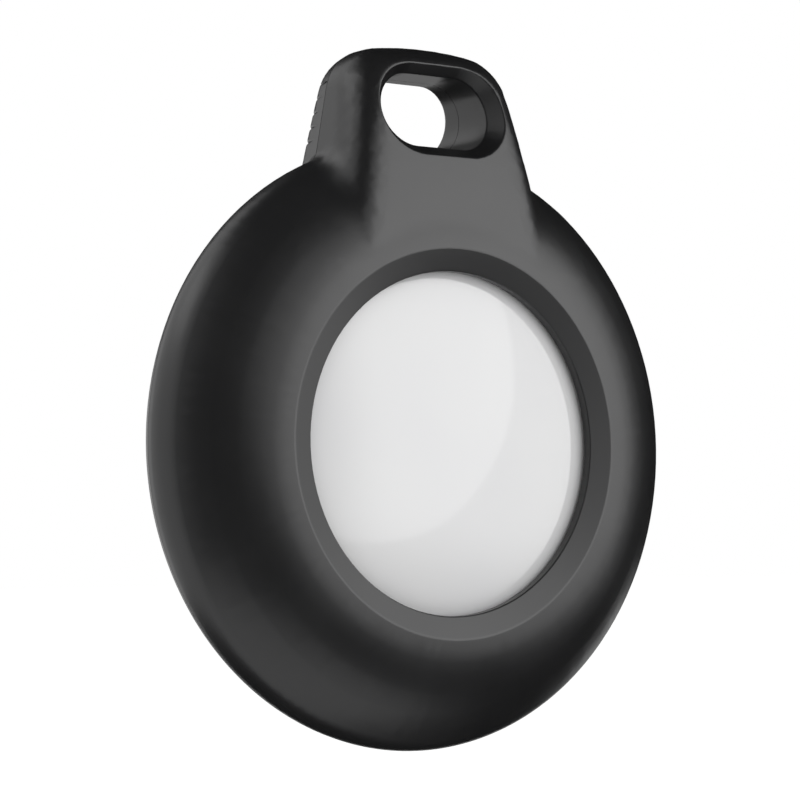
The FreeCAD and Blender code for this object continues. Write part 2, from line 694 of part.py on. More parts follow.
draw(entry, [
    (f"{tray_bore} - cover_clearance", tab_back),
    (f"{tab_radius} + cover_clearance", tab_back),
    (f"{tab_radius} + cover_clearance", f"{cover_ledge} + cover_clearance"),
    (f"{tray_bore} - cover_clearance", f"{cover_ledge} + cover_clearance"),
])
entry_angle = "( cover_tab_angle + cover_notch_spare_angle ) * 1 deg"
notch = turn(battery_tray, "Groove", entry, "tab_entry", entry_angle)
polar(battery_tray, notch, entry, "cover_tab_count", "tab_entries")


def cover_depth(x, drop):
    """Depth of the steel cover's bulged sheet at a distance from the axis."""
    return f"( {tag_back} - {drop} - {cover_dome_radius} + sqrt({cover_dome_radius} ^ 2 - ( {x} ) ^ 2 ) )"


# Battery cover: pressed steel lid with a short skirt and three bayonet tabs
half_cover, half_skirt = "cover_radius / 2", f"{cover_skirt_inner} / 2"
battery_cover = turned("battery_cover", [
    ("0", tag_back),
    (half_cover, cover_depth(half_cover, "0"), "cover_radius", cover_edge),
    ("cover_radius", f"{cover_edge} - cover_thickness"),
    (cover_skirt_outer, cover_depth(cover_skirt_outer, "cover_thickness")),
    (cover_skirt_outer, cover_skirt_end),
    (cover_skirt_inner, cover_skirt_end),
    (cover_skirt_inner, cover_depth(cover_skirt_inner, "cover_thickness")),
    (half_skirt, cover_depth(half_skirt, "cover_thickness"), "0", f"{tag_back} - cover_thickness"),
])
tab = draw(sketch_on(battery_cover, "XY_Plane", "cover_tab_outline"), [
    (f"{cover_skirt_outer} - cover_skirt_wall / 2", cover_skirt_end),
    (tab_radius, cover_skirt_end),
    (tab_radius, tab_back),
    (f"{cover_skirt_outer} - cover_skirt_wall / 2", tab_back),
])
polar(battery_cover, turn(battery_cover, "Revolution", tab, "cover_tab", "cover_tab_angle * 1 deg"), tab,
      "cover_tab_count", "cover_tabs")
pad_back = cover_depth("pad_radius", "cover_thickness")
hang(cylinder("cover_pad", "pad_radius", f"{cell_back} + cell_seam", pad_back), "cover_pad")

# Coin cell: steel can at the back, crimped over a gasket on the negative cap, with its two electrodes inside
can_bore = "( cell_radius - cell_can_wall )"
can_front = f"( {cell_front} + cell_crimp_setback )"
turned("coin_cell_can", [
    ("0", cell_back),
    ("cell_radius", cell_back),
    ("cell_radius", can_front),
    (can_bore, can_front),
    (can_bore, f"{cell_back} - cell_can_wall"),
    ("0", f"{cell_back} - cell_can_wall"),
])
gasket_outer = f"( {can_bore} - cell_seam )"
gasket_inner = f"( {gasket_outer} - cell_gasket_wall )"
gasket_back = f"( {can_front} + cell_gasket_length )"
ring("coin_cell_gasket", gasket_outer, gasket_inner, can_front, gasket_back)
cap_skirt = f"( {gasket_inner} - cell_seam )"
turned("coin_cell_cap", [
    ("0", cell_front),
    ("cell_cap_radius", cell_front),
    (cap_skirt, f"{cell_front} + cell_cap_shoulder"),
    (cap_skirt, f"{gasket_back} - cell_can_wall"),
    (f"{cap_skirt} - cell_can_wall", f"{gasket_back} - cell_can_wall"),
    (f"{cap_skirt} - cell_can_wall", f"{cell_front} + cell_cap_shoulder + cell_can_wall / 2"),
    ("cell_cap_radius - cell_can_wall / 2", f"{cell_front} + cell_can_wall"),
    ("0", f"{cell_front} + cell_can_wall"),
])
cathode_back = f"( {cell_back} - cell_can_wall )"
cathode_front = f"( {cathode_back} - cathode_thickness )"
separator_front = f"( {cathode_front} - separator_thickness )"
electrode_radius = "( cell_cap_radius - electrode_inset )"
hang(cylinder("cell_cathode", electrode_radius, cathode_front, cathode_back), "cell_cathode")
hang(cylinder("cell_separator", electrode_radius, separator_front, cathode_front), "cell_separator")
hang(cylinder("cell_anode", electrode_radius, f"{cell_front} + cell_can_wall", separator_front), "cell_anode")


def ring_sector(name, outer, inner, front, back, angle, sweep):
    """Part of a flat ring that starts at an angle about the disc axis."""
    cut = doc.addObject("Part::Cut", name)
    cut.Base = cylinder(f"{name}_outer", outer, front, back)
    cut.Tool = cylinder(f"{name}_bore", inner, f"{front} - cut_overrun", f"{back} + cut_overrun")
    bind(cut.Base, Angle=f"( {sweep} ) * 1 deg")
    cut.Placement = turned_about(0, 1, 0)
    bind(cut, Placement__Rotation__Angle=f"( {angle} ) * 1 deg")
    return cut


def group(label, pieces):
    compound = doc.addObject("Part::Compound", label)
    compound.Links = pieces
    return hang(compound, label)


# Battery contacts: two sprung strips at the can's side and a leaf under the cap
strip_inner = "( cell_radius + cell_seam )"
strip_sweep = f"( 2 * asin(contact_width / ( 2 * {strip_inner} ) ) / 1 deg )"
strip_back = f"( {cell_back} - tray_wall_drop )"
strips = []
for number, angle in enumerate(("0", "side_contact_spread")):
    strips.append(ring_sector(f"side_contact_{number}", f"{cell_well}", f"{cell_well} - contact_thickness",
                              f"{strip_back} - side_contact_height", strip_back, angle, strip_sweep))
group("positive_contacts", strips)
leaf = doc.addObject("Part::Box", "negative_contact")
hang(leaf, "negative_contact")
bind(leaf, Length="contact_length", Width="contact_thickness", Height="contact_width",
     Placement__Base__x="0 - contact_length / 2", Placement__Base__y=floor_back,
     Placement__Base__z=f"0 - {slot_rise} - contact_width / 2")

# Circuit board: ring round the speaker with the radio, memory, sound and motion chips on its front
board_front = f"( {floor_front} - board_thickness )"
ring("circuit_board", "board_radius", "board_hole_radius", board_front, floor_front)


def on_board(name, ring_radius, angle, depth, width, height, drop):
    """Block that stands on the board's front at an angle, sized along the radius, round it and forwards."""
    block = doc.addObject("Part::Box", name)
    block.Placement = turned_about(0, 1, 0)
    turn_angle = f"( ( {angle} ) * 1 deg )"
    near, aside = f"( {ring_radius} - {depth} / 2 )", f"( {width} / 2 )"
    bind(block, Length=depth, Width=height, Height=width, Placement__Rotation__Angle=turn_angle,
         Placement__Base__x=f"{near} * cos({turn_angle} ) - {aside} * sin({turn_angle} )",
         Placement__Base__y=f"{board_front} - {height}",
         Placement__Base__z=f"0 - {near} * sin({turn_angle} ) - {aside} * cos({turn_angle} ) - {drop}")
    return block


for chip in CHIPS:
    block = on_board(chip, "chip_ring_radius", f"{chip}_angle", f"{chip}_depth", f"{chip}_width",
                     "chip_height", slot_rise)
    block.Label = chip
    parts.append(block)
capacitors = []
for number in range(int(sheet.capacitor_count)):
    angle = f"capacitor_start + capacitor_spread * {number} / capacitor_count"
    capacitors.append(on_board(f"capacitor_{number}", "capacitor_ring_radius", angle, "capacitor_length",
                               "capacitor_width", "capacitor_height", "0"))
group("board_capacitors", capacitors)

# Aerials: three printed strips on a carrier ring just inside the dome's edge
carrier_front = f"( {floor_front} - carrier_thickness )"
ring("antenna_carrier", "carrier_outer_radius", "carrier_inner_radius", carrier_front, floor_front)
strip_outer = "( carrier_outer_radius - antenna_gap )"
for antenna in ANTENNAS:
    strip = ring_sector(antenna, strip_outer, f"{strip_outer} - antenna_width",
                        f"{carrier_front} - antenna_thickness", carrier_front,
                        f"{antenna}_angle", f"{antenna}_sweep")
    hang(strip, antenna)

# Speaker: magnet in a steel yoke on the tray, and a coil on the dome, which is its diaphragm
turned("speaker_yoke", [
    ("0", floor_front),
    ("yoke_radius", floor_front),
    ("yoke_radius", f"{floor_front} - yoke_height"),
    ("yoke_radius - yoke_wall", f"{floor_front} - yoke_height"),
    ("yoke_radius - yoke_wall", f"{floor_front} - yoke_wall"),
    ("0", f"{floor_front} - yoke_wall"),
])
magnet_back = f"( {floor_front} - yoke_wall )"
magnet = cylinder("speaker_magnet", "magnet_radius", f"{magnet_back} - magnet_height", magnet_back)
hang(magnet, "speaker_magnet")
coil_outer = "( coil_inner_radius + coil_wall )"
coil_front = f"( {on_dome(inner_dome, coil_outer)} + coil_gap )"
ring("voice_coil", coil_outer, "coil_inner_radius", coil_front, f"{coil_front} + coil_height")

doc.recompute()
failed = [item.Name for item in doc.Objects if {"Invalid", "Error"} & set(item.State)]
failed += [item.Label for item in parts if item.Shape.isNull() or not item.Shape.isValid()]
if failed:
    raise RuntimeError(f"not built: {failed}")
os.makedirs("parts", exist_ok=True)
for item in parts:
    item.Shape.exportStep(f"parts/{item.Label}.step")
print(f"{len(parts)} pieces written")
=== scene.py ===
import json
import math

import bmesh
import bpy
import numpy as np
from mathutils import Matrix, Vector
from mathutils.geometry import intersect_point_line
from mathutils.bvhtree import BVHTree
from mathutils.kdtree import KDTree


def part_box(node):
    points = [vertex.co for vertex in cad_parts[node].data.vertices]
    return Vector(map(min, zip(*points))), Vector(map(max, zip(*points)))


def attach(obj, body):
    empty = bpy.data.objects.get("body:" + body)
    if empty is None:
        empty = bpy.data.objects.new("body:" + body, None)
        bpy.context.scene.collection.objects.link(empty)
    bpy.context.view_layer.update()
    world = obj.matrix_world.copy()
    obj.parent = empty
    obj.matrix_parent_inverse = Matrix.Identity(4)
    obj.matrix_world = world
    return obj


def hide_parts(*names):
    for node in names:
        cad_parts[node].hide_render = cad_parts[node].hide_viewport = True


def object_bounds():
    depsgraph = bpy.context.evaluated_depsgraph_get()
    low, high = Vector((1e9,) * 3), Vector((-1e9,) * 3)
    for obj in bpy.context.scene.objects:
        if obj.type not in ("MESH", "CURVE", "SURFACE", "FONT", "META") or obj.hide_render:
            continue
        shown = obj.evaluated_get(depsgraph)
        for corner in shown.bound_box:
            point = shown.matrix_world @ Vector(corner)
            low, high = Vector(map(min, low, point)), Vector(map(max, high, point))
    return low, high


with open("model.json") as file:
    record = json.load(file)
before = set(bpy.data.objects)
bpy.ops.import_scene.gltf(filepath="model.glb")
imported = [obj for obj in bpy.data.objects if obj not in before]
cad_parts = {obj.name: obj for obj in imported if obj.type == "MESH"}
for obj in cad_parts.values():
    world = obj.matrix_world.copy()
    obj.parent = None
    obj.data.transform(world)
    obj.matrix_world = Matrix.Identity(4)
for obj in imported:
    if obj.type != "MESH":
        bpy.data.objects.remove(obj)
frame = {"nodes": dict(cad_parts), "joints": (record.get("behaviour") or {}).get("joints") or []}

cad_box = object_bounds()


# Rear shell: the base of the case, injection-moulded in black ABS with the rear half of the lug.
# Its tool is spark-eroded to a fine satin, so it shows broad soft reflections and no gloss spots.
# The key ring keeps it from turning on the front shell.
MM = 0.001
disc_centre = Vector(frame["joints"][0]["pos_m"])


def linear(hex_colour):
    """sRGB hex to the linear colour that a shader socket takes."""
    levels = [int(hex_colour[i:i + 2], 16) / 255 for i in (1, 3, 5)]
    return (*(c / 12.92 if c <= 0.04045 else ((c + 0.055) / 1.055) ** 2.4 for c in levels), 1.0)


def add(tree, kind, links=(), stops=(), **settings):
    """Adds one node. Links are (input, socket or value), stops are a ramp's (position, hex colour),
    and settings are the node's own properties or named inputs.
    """
    node = tree.nodes.new(kind)
    for name, value in settings.items():
        if name in node.bl_rna.properties:
            setattr(node, name, value)
        else:
            node.inputs[name.replace("_", " ")].default_value = value
    for number, (position, colour) in enumerate(stops):
        node.color_ramp.elements[number].position = position
        node.color_ramp.elements[number].color = linear(colour)
    for name, source in links:
        if isinstance(source, bpy.types.NodeSocket):
            tree.links.new(node.inputs[name], source)
        else:
            node.inputs[name].default_value = source
    return node


def new_material(name):
    """Empty material, its node tree, and the piece's own coordinates."""
    material = bpy.data.materials.new(name)
    material.use_nodes = True
    tree = material.node_tree
    tree.nodes.clear()
    place = add(tree, "ShaderNodeTexCoord").outputs["Object"]
    return material, tree, place


# Nearly all of a noise pattern lies between these two levels, so colours and gloss run from one to the other.
PATTERN_LOW, PATTERN_HIGH = 0.3, 0.7


def satin_black_abs():
    """Moulded ABS: near-black, dulled by a spark-eroded grain, its gloss drifting with the mould's flow.

    The grain is about 0.05 mm and is drawn at 0.12 mm, because finer than that it can't show.
    """
    material, tree, place = new_material("satin_moulded_abs")
    grain = add(tree, "ShaderNodeTexNoise", [("Vector", place)], Scale=1 / (0.12 * MM), Detail=3.0)
    flow = add(tree, "ShaderNodeTexNoise", [("Vector", place)], Scale=1 / (5 * MM), Detail=2.0)
    bump = add(tree, "ShaderNodeBump", [("Height", grain.outputs["Fac"])], Strength=0.06, Distance=0.02 * MM)
    colour = add(tree, "ShaderNodeValToRGB", [("Fac", flow.outputs["Fac"])],
                 stops=[(PATTERN_LOW, "#1c1c1d"), (PATTERN_HIGH, "#1e1e1f")])
    gloss = add(tree, "ShaderNodeMapRange", [("Value", flow.outputs["Fac"])],
                From_Min=PATTERN_LOW, From_Max=PATTERN_HIGH, To_Min=0.335, To_Max=0.36)
    shade = add(tree, "ShaderNodeBsdfPrincipled", [
        ("Base Color", colour.outputs["Color"]),
        ("Roughness", gloss.outputs["Result"]),
        ("Normal", bump.outputs["Normal"]),
    ], IOR=1.54)
    add(tree, "ShaderNodeOutputMaterial", [("Surface", shade.outputs["BSDF"])])
    return material


RIM_ROUND = 0.1 * MM
RIM_STEPS = 3
RIM_ANGLE = math.radians(18)
SMOOTH_ANGLE = math.radians(30)
FLAT_ANGLE = math.radians(0.05)
MERGE_GAP = 0.0001 * MM
PARTING, PARTING_BAND = 0.52 * MM, 0.1 * MM
SOCKET_RADIUS = 18.9 * MM
SOCKET_FRONT, SOCKET_BACK = -3.0 * MM, 2.3 * MM


def shows(edge):
    """True for the rims of windows, slot and ribs, but not for the parting line and the thread."""
    middle = (edge.verts[0].co + edge.verts[1].co) / 2
    from_axis = math.hypot(middle.x, middle.z - disc_centre.z)
    in_thread = from_axis < SOCKET_RADIUS and SOCKET_FRONT < middle.y < SOCKET_BACK
    return not in_thread and abs(middle.y - PARTING) > PARTING_BAND


def even_shading(mesh, name):
    """Plain mesh piece whose normals follow its larger faces, and break where the surface breaks."""
    bmesh.ops.triangulate(mesh, faces=mesh.faces)
    mesh.normal_update()
    for table in (mesh.verts, mesh.faces):
        table.index_update()
    for edge in mesh.edges:
        edge.smooth = edge.is_manifold and edge.calc_face_angle() < SMOOTH_ANGLE
    for face in mesh.faces:
        face.smooth = True
    corners = {}
    for vert in mesh.verts:
        waiting = set(vert.link_faces)
        while waiting:
            fan, reached = [], [waiting.pop()]
            while reached:
                face = reached.pop()
                fan.append(face)
                for edge in face.edges:
                    if edge.smooth and vert in edge.verts:
                        beyond = waiting.intersection(edge.link_faces)
                        waiting -= beyond
                        reached.extend(beyond)
            fan.sort(key=lambda face: face.index)
            normal = sum((face.normal * face.calc_area() ** 2 for face in fan), Vector()).normalized()
            corners.update({(face.index, vert.index): normal for face in fan})
    normals = [corners[face.index, loop.vert.index] for face in mesh.faces for loop in face.loops]
    skin = bpy.data.meshes.new(name)
    mesh.to_mesh(skin)
    mesh.free()
    skin.normals_split_custom_set(normals)
    piece = bpy.data.objects.new(name, skin)
    bpy.context.scene.collection.objects.link(piece)
    return piece


def moulded(node, name, body, material, on_rim, rim_round, soften=None):
    """Copy of a CAD node with the small radius that a mould or a press leaves on its outer edges."""
    mesh = bmesh.new()
    mesh.from_mesh(frame["nodes"][node].data)
    bmesh.ops.remove_doubles(mesh, verts=mesh.verts, dist=MERGE_GAP)
    bmesh.ops.dissolve_limit(mesh, angle_limit=FLAT_ANGLE, verts=mesh.verts, edges=mesh.edges)
    rims = [edge for edge in mesh.edges if edge.is_manifold and edge.is_convex
            and edge.calc_face_angle() > RIM_ANGLE and on_rim(edge)]
    rounded = bmesh.ops.bevel(mesh, geom=rims, offset=rim_round, segments=RIM_STEPS, profile=0.5,
                              affect="EDGES", clamp_overlap=False)
    if soften:
        soften(mesh, rounded["faces"])
    piece = even_shading(mesh, name)
    piece.data.materials.clear()
    piece.data.materials.append(material)
    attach(piece, body)
    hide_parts(node)
    return piece


case_plastic = satin_black_abs()
moulded("rear_shell", "rear_case", "rear", case_plastic, shows, RIM_ROUND)


# Tag dome: the white cup of the tag, moulded in polycarbonate in a polished tool.
# It is the front of the tag and the speaker's diaphragm, and lies loose between the two shells.
def polished_white():
    """Polished polycarbonate: an even cool white, clear reflections, a trace of orange peel 1.5 mm wide."""
    material, tree, place = new_material("polished_white_polycarbonate")
    peel = add(tree, "ShaderNodeTexNoise", [("Vector", place)], Scale=1 / (1.5 * MM), Detail=1.0)
    tone = add(tree, "ShaderNodeTexNoise", [("Vector", place)], Scale=1 / (9 * MM), Detail=1.0)
    bump = add(tree, "ShaderNodeBump", [("Height", peel.outputs["Fac"])], Strength=0.05, Distance=0.01 * MM)
    colour = add(tree, "ShaderNodeValToRGB", [("Fac", tone.outputs["Fac"])],
                 stops=[(PATTERN_LOW, "#e9e9ea"), (PATTERN_HIGH, "#ececec")])
    shade = add(tree, "ShaderNodeBsdfPrincipled", [
        ("Base Color", colour.outputs["Color"]),
        ("Normal", bump.outputs["Normal"]),
    ], Roughness=0.06, IOR=1.58)
    add(tree, "ShaderNodeOutputMaterial", [("Surface", shade.outputs["BSDF"])])
    return material


moulded("tag_dome", "white_dome", "tag", polished_white(), lambda edge: False, RIM_ROUND)


# Voice coil: enamelled copper wire, wound in four layers and glued to the back of the dome.
# Real wire is about 0.1 mm thick; it is drawn at 0.2 mm, so that the turns show.
def enamelled_copper():
    """Copper under clear enamel: a warm metal with a shiny coat and a slightly uneven tone."""
    material, tree, place = new_material("enamelled_copper_wire")
    tone = add(tree, "ShaderNodeTexNoise", [("Vector", place)], Scale=1 / (0.8 * MM), Detail=2.0)
    colour = add(tree, "ShaderNodeValToRGB", [("Fac", tone.outputs["Fac"])],
                 stops=[(PATTERN_LOW, "#b5622f"), (PATTERN_HIGH, "#cf7f45")])
    gloss = add(tree, "ShaderNodeMapRange", [("Value", tone.outputs["Fac"])],
                From_Min=PATTERN_LOW, From_Max=PATTERN_HIGH, To_Min=0.22, To_Max=0.34)
    shade = add(tree, "ShaderNodeBsdfPrincipled", [
        ("Base Color", colour.outputs["Color"]),
        ("Roughness", gloss.outputs["Result"]),
    ], Metallic=1.0, Coat_Weight=0.6, Coat_Roughness=0.12)
    add(tree, "ShaderNodeOutputMaterial", [("Surface", shade.outputs["BSDF"])])
    return material


def node_group(name, inputs):
    """Geometry tree with named inputs and one geometry output."""
    tree = bpy.data.node_groups.new(name, "GeometryNodeTree")
    for label, kind in inputs:
        tree.interface.new_socket(label, in_out="INPUT", socket_type=kind)
    tree.interface.new_socket("Geometry", in_out="OUTPUT", socket_type="NodeSocketGeometry")
    return tree, add(tree, "NodeGroupInput").outputs


def grown(name, tree, values):
    """Runs a geometry tree with its inputs set, and leaves a plain mesh piece."""
    piece = bpy.data.objects.new(name, bpy.data.meshes.new(f"{name}_seed"))
    bpy.context.scene.collection.objects.link(piece)
    modifier = piece.modifiers.new(name, "NODES")
    modifier.node_group = tree
    for item in tree.interface.items_tree:
        if item.in_out == "INPUT":
            modifier[item.identifier] = values[item.name]
    bpy.context.view_layer.update()
    mesh = bpy.data.meshes.new_from_object(piece.evaluated_get(bpy.context.evaluated_depsgraph_get()))
    piece.modifiers.clear()
    seed, piece.data = piece.data, mesh
    bpy.data.meshes.remove(seed)
    mesh.name = name
    return piece


COIL_LAYERS = 4
WIRE_FILL = 0.49


def coil_tree(wire):
    """Layers of wire, one spiral each, wound round an upright axis and then turned to the disc's axis."""
    tree, given = node_group("coil_winding", [
        ("Inner Radius", "NodeSocketFloat"), ("Wire", "NodeSocketFloat"), ("Turns", "NodeSocketFloat"),
        ("Height", "NodeSocketFloat"), ("Place", "NodeSocketVector")])
    half = add(tree, "ShaderNodeMath", [(0, given["Wire"]), (1, WIRE_FILL)], operation="MULTIPLY")
    profile = add(tree, "GeometryNodeCurvePrimitiveCircle", [("Radius", half.outputs[0])], Resolution=10)
    layers = add(tree, "GeometryNodeJoinGeometry")
    for layer in range(COIL_LAYERS):
        radius = add(tree, "ShaderNodeMath", [
            (0, given["Wire"]), (1, layer + 0.5), (2, given["Inner Radius"])], operation="MULTIPLY_ADD")
        turn = add(tree, "GeometryNodeCurveSpiral", [
            ("Rotations", given["Turns"]), ("Start Radius", radius.outputs[0]),
            ("End Radius", radius.outputs[0]), ("Height", given["Height"])],
            Resolution=64, Reverse=bool(layer % 2))
        tree.links.new(layers.inputs["Geometry"], turn.outputs["Curve"])
    tube = add(tree, "GeometryNodeCurveToMesh", [
        ("Curve", layers.outputs["Geometry"]), ("Profile Curve", profile.outputs["Curve"])], Fill_Caps=True)
    stood = add(tree, "GeometryNodeTransform", [
        ("Geometry", tube.outputs["Mesh"]), ("Translation", given["Place"])], Rotation=(math.pi / 2, 0, 0))
    smooth = add(tree, "GeometryNodeSetShadeSmooth", [("Geometry", stood.outputs["Geometry"])])
    real = add(tree, "GeometryNodeRealizeInstances", [("Geometry", smooth.outputs["Geometry"])])
    dressed = add(tree, "GeometryNodeSetMaterial", [("Geometry", real.outputs["Geometry"])], Material=wire)
    add(tree, "NodeGroupOutput", [("Geometry", dressed.outputs["Geometry"])])
    return tree


low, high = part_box("voice_coil")
coil_wall = 0.8 * MM
wire = coil_wall / COIL_LAYERS
coil_height = high.y - low.y - wire
coil = grown("voice_coil_winding", coil_tree(enamelled_copper()), {
    "Inner Radius": high.x - coil_wall, "Wire": wire, "Turns": coil_height / wire, "Height": coil_height,
    "Place": (disc_centre.x, high.y - wire / 2, disc_centre.z)})
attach(coil, "tag")
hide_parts("voice_coil")


# Speaker magnet and yoke: a sintered magnet disc, nickel-plated, in a cup pressed from plated steel strip.
# The cup is glued to the tray and the magnet pulls itself into it, so the dome's coil hangs round it.
def nickel_plate(name, dull, bright, rough_low, rough_high, streak):
    """Nickel plate on steel: a slightly warm mirror, broken by the drawing marks of the sheet below it.

    The marks are about 0.02 mm wide and are drawn at 0.1 mm, because finer than that they can't show.
    """
    material, tree, place = new_material(name)
    stretch = add(tree, "ShaderNodeMapping", [("Vector", place)], Scale=streak)
    marks = add(tree, "ShaderNodeTexNoise", [("Vector", stretch.outputs["Vector"])],
                Scale=1 / (0.1 * MM), Detail=3.0)
    bump = add(tree, "ShaderNodeBump", [("Height", marks.outputs["Fac"])], Strength=0.08, Distance=0.01 * MM)
    colour = add(tree, "ShaderNodeValToRGB", [("Fac", marks.outputs["Fac"])],
                 stops=[(PATTERN_LOW, dull), (PATTERN_HIGH, bright)])
    gloss = add(tree, "ShaderNodeMapRange", [("Value", marks.outputs["Fac"])],
                From_Min=PATTERN_LOW, From_Max=PATTERN_HIGH, To_Min=rough_low, To_Max=rough_high)
    shade = add(tree, "ShaderNodeBsdfPrincipled", [
        ("Base Color", colour.outputs["Color"]),
        ("Roughness", gloss.outputs["Result"]),
        ("Normal", bump.outputs["Normal"]),
    ], Metallic=1.0)
    add(tree, "ShaderNodeOutputMaterial", [("Surface", shade.outputs["BSDF"])])
    return material


def dress(material, *nodes):
    """Gives CAD nodes, whose shapes are right as they are, their finished material."""
    for node in nodes:
        for slot in frame["nodes"][node].material_slots:
            slot.material = material


dress(nickel_plate("nickel_plated_magnet", "#b3aea4", "#c4bfb5", 0.16, 0.24, (0.5, 0.5, 0.5)),
      "speaker_magnet")
strip_steel = nickel_plate("nickel_plated_strip_steel", "#a7a59f", "#bdbbb5", 0.24, 0.38, (0.06, 1.0, 1.0))
dress(strip_steel, "speaker_yoke")


# Aerials: three traces of plated copper, laid on a thin ring that is moulded to fit round the board.
# The ring clips under the dome's wall, and the traces touch the board's edge.
def pale_moulding():
    """Glass-filled moulding: a pale grey, dull, with the short-fibre speckle and grain of a plain tool."""
    material, tree, place = new_material("glass_filled_moulding")
    fibre = add(tree, "ShaderNodeTexNoise", [("Vector", place)], Scale=1 / (0.2 * MM), Detail=4.0)
    bump = add(tree, "ShaderNodeBump", [("Height", fibre.outputs["Fac"])], Strength=0.12, Distance=0.02 * MM)
    colour = add(tree, "ShaderNodeValToRGB", [("Fac", fibre.outputs["Fac"])],
                 stops=[(PATTERN_LOW, "#bdbdb9"), (PATTERN_HIGH, "#c8c8c5")])
    gloss = add(tree, "ShaderNodeMapRange", [("Value", fibre.outputs["Fac"])],
                From_Min=PATTERN_LOW, From_Max=PATTERN_HIGH, To_Min=0.48, To_Max=0.6)
    shade = add(tree, "ShaderNodeBsdfPrincipled", [
        ("Base Color", colour.outputs["Color"]),
        ("Roughness", gloss.outputs["Result"]),
        ("Normal", bump.outputs["Normal"]),
    ], IOR=1.56)
    add(tree, "ShaderNodeOutputMaterial", [("Surface", shade.outputs["BSDF"])])
    return material


def plated_copper():
    """Copper built up on plastic: bright salmon metal, a little rough, darker where it has tarnished."""
    material, tree, place = new_material("plated_copper_trace")
    tarnish = add(tree, "ShaderNodeTexNoise", [("Vector", place)], Scale=1 / (1.2 * MM), Detail=4.0)
    colour = add(tree, "ShaderNodeValToRGB", [("Fac", tarnish.outputs["Fac"])],
                 stops=[(PATTERN_LOW, "#a9603a"), (PATTERN_HIGH, "#d08a60")])
    gloss = add(tree, "ShaderNodeMapRange", [("Value", tarnish.outputs["Fac"])],
                From_Min=PATTERN_LOW, From_Max=PATTERN_HIGH, To_Min=0.45, To_Max=0.28)
    shade = add(tree, "ShaderNodeBsdfPrincipled", [
        ("Base Color", colour.outputs["Color"]),
        ("Roughness", gloss.outputs["Result"]),
    ], Metallic=1.0)
    add(tree, "ShaderNodeOutputMaterial", [("Surface", shade.outputs["BSDF"])])
    return material


pale_plastic = pale_moulding()
dress(pale_plastic, "antenna_carrier")
dress(plated_copper(), "ranging_antenna", "bluetooth_antenna", "near_field_antenna")


# Circuit board: a ring of glass-cloth laminate under green solder mask, with the tag's chips on its front.
# The chips are moulded black resin, soldered flat; they carry no marking.
def masked_laminate():
    """Solder mask on glass cloth: a deep green gloss with the weave, 0.4 mm wide, as soft squares."""
    material, tree, place = new_material("solder_masked_laminate")
    threads = [add(tree, "ShaderNodeTexWave", [("Vector", place)], bands_direction=axis, wave_profile="SIN",
                   Scale=math.tau / (20 * 0.4 * MM), Distortion=0.6, Detail=1.0) for axis in ("X", "Z")]
    cloth = add(tree, "ShaderNodeMath", [
        (0, threads[0].outputs["Fac"]), (1, threads[1].outputs["Fac"])], operation="MULTIPLY")
    bump = add(tree, "ShaderNodeBump", [("Height", cloth.outputs[0])], Strength=0.1, Distance=0.02 * MM)
    colour = add(tree, "ShaderNodeValToRGB", [("Fac", cloth.outputs[0])],
                 stops=[(PATTERN_LOW, "#123f2a"), (PATTERN_HIGH, "#1a5236")])
    shade = add(tree, "ShaderNodeBsdfPrincipled", [
        ("Base Color", colour.outputs["Color"]),
        ("Normal", bump.outputs["Normal"]),
    ], Roughness=0.3, IOR=1.55)
    add(tree, "ShaderNodeOutputMaterial", [("Surface", shade.outputs["BSDF"])])
    return material


def chip_resin():
    """Transfer-moulded epoxy: a warm black, dull, with the silica filler's fine grit of about 0.06 mm."""
    material, tree, place = new_material("moulded_epoxy_resin")
    grit = add(tree, "ShaderNodeTexNoise", [("Vector", place)], Scale=1 / (0.06 * MM), Detail=2.0)
    bump = add(tree, "ShaderNodeBump", [("Height", grit.outputs["Fac"])], Strength=0.2, Distance=0.01 * MM)
    colour = add(tree, "ShaderNodeValToRGB", [("Fac", grit.outputs["Fac"])],
                 stops=[(PATTERN_LOW, "#1d1c1b"), (PATTERN_HIGH, "#2a2927")])
    gloss = add(tree, "ShaderNodeMapRange", [("Value", grit.outputs["Fac"])],
                From_Min=PATTERN_LOW, From_Max=PATTERN_HIGH, To_Min=0.55, To_Max=0.68)
    shade = add(tree, "ShaderNodeBsdfPrincipled", [
        ("Base Color", colour.outputs["Color"]),
        ("Roughness", gloss.outputs["Result"]),
        ("Normal", bump.outputs["Normal"]),
    ], IOR=1.55)
    add(tree, "ShaderNodeOutputMaterial", [("Surface", shade.outputs["BSDF"])])
    return material


dress(masked_laminate(), "circuit_board")
CHIP_ROUND = 0.06 * MM
chip_black = chip_resin()
for chip in ("ranging_chip", "bluetooth_chip", "flash_chip", "audio_amplifier_chip", "motion_sensor_chip"):
    moulded(chip, f"{chip}_package", "tag", chip_black, lambda edge: True, CHIP_ROUND)


# Board capacitors: twelve ceramic blocks in an arc round the board, each with two tinned ends.
# They are fired, dipped at both ends and soldered, with their length towards the speaker.
def fired_ceramic():
    """Fired dielectric: a tan block with a faint glaze and darker specks."""
    material, tree, place = new_material("fired_tan_ceramic")
    specks = add(tree, "ShaderNodeTexNoise", [("Vector", place)], Scale=1 / (0.08 * MM), Detail=3.0)
    colour = add(tree, "ShaderNodeValToRGB", [("Fac", specks.outputs["Fac"])],
                 stops=[(PATTERN_LOW, "#8a6a48"), (PATTERN_HIGH, "#a98660")])
    gloss = add(tree, "ShaderNodeMapRange", [("Value", specks.outputs["Fac"])],
                From_Min=PATTERN_LOW, From_Max=PATTERN_HIGH, To_Min=0.3, To_Max=0.45)
    shade = add(tree, "ShaderNodeBsdfPrincipled", [
        ("Base Color", colour.outputs["Color"]),
        ("Roughness", gloss.outputs["Result"]),
    ], IOR=1.7)
    add(tree, "ShaderNodeOutputMaterial", [("Surface", shade.outputs["BSDF"])])
    return material


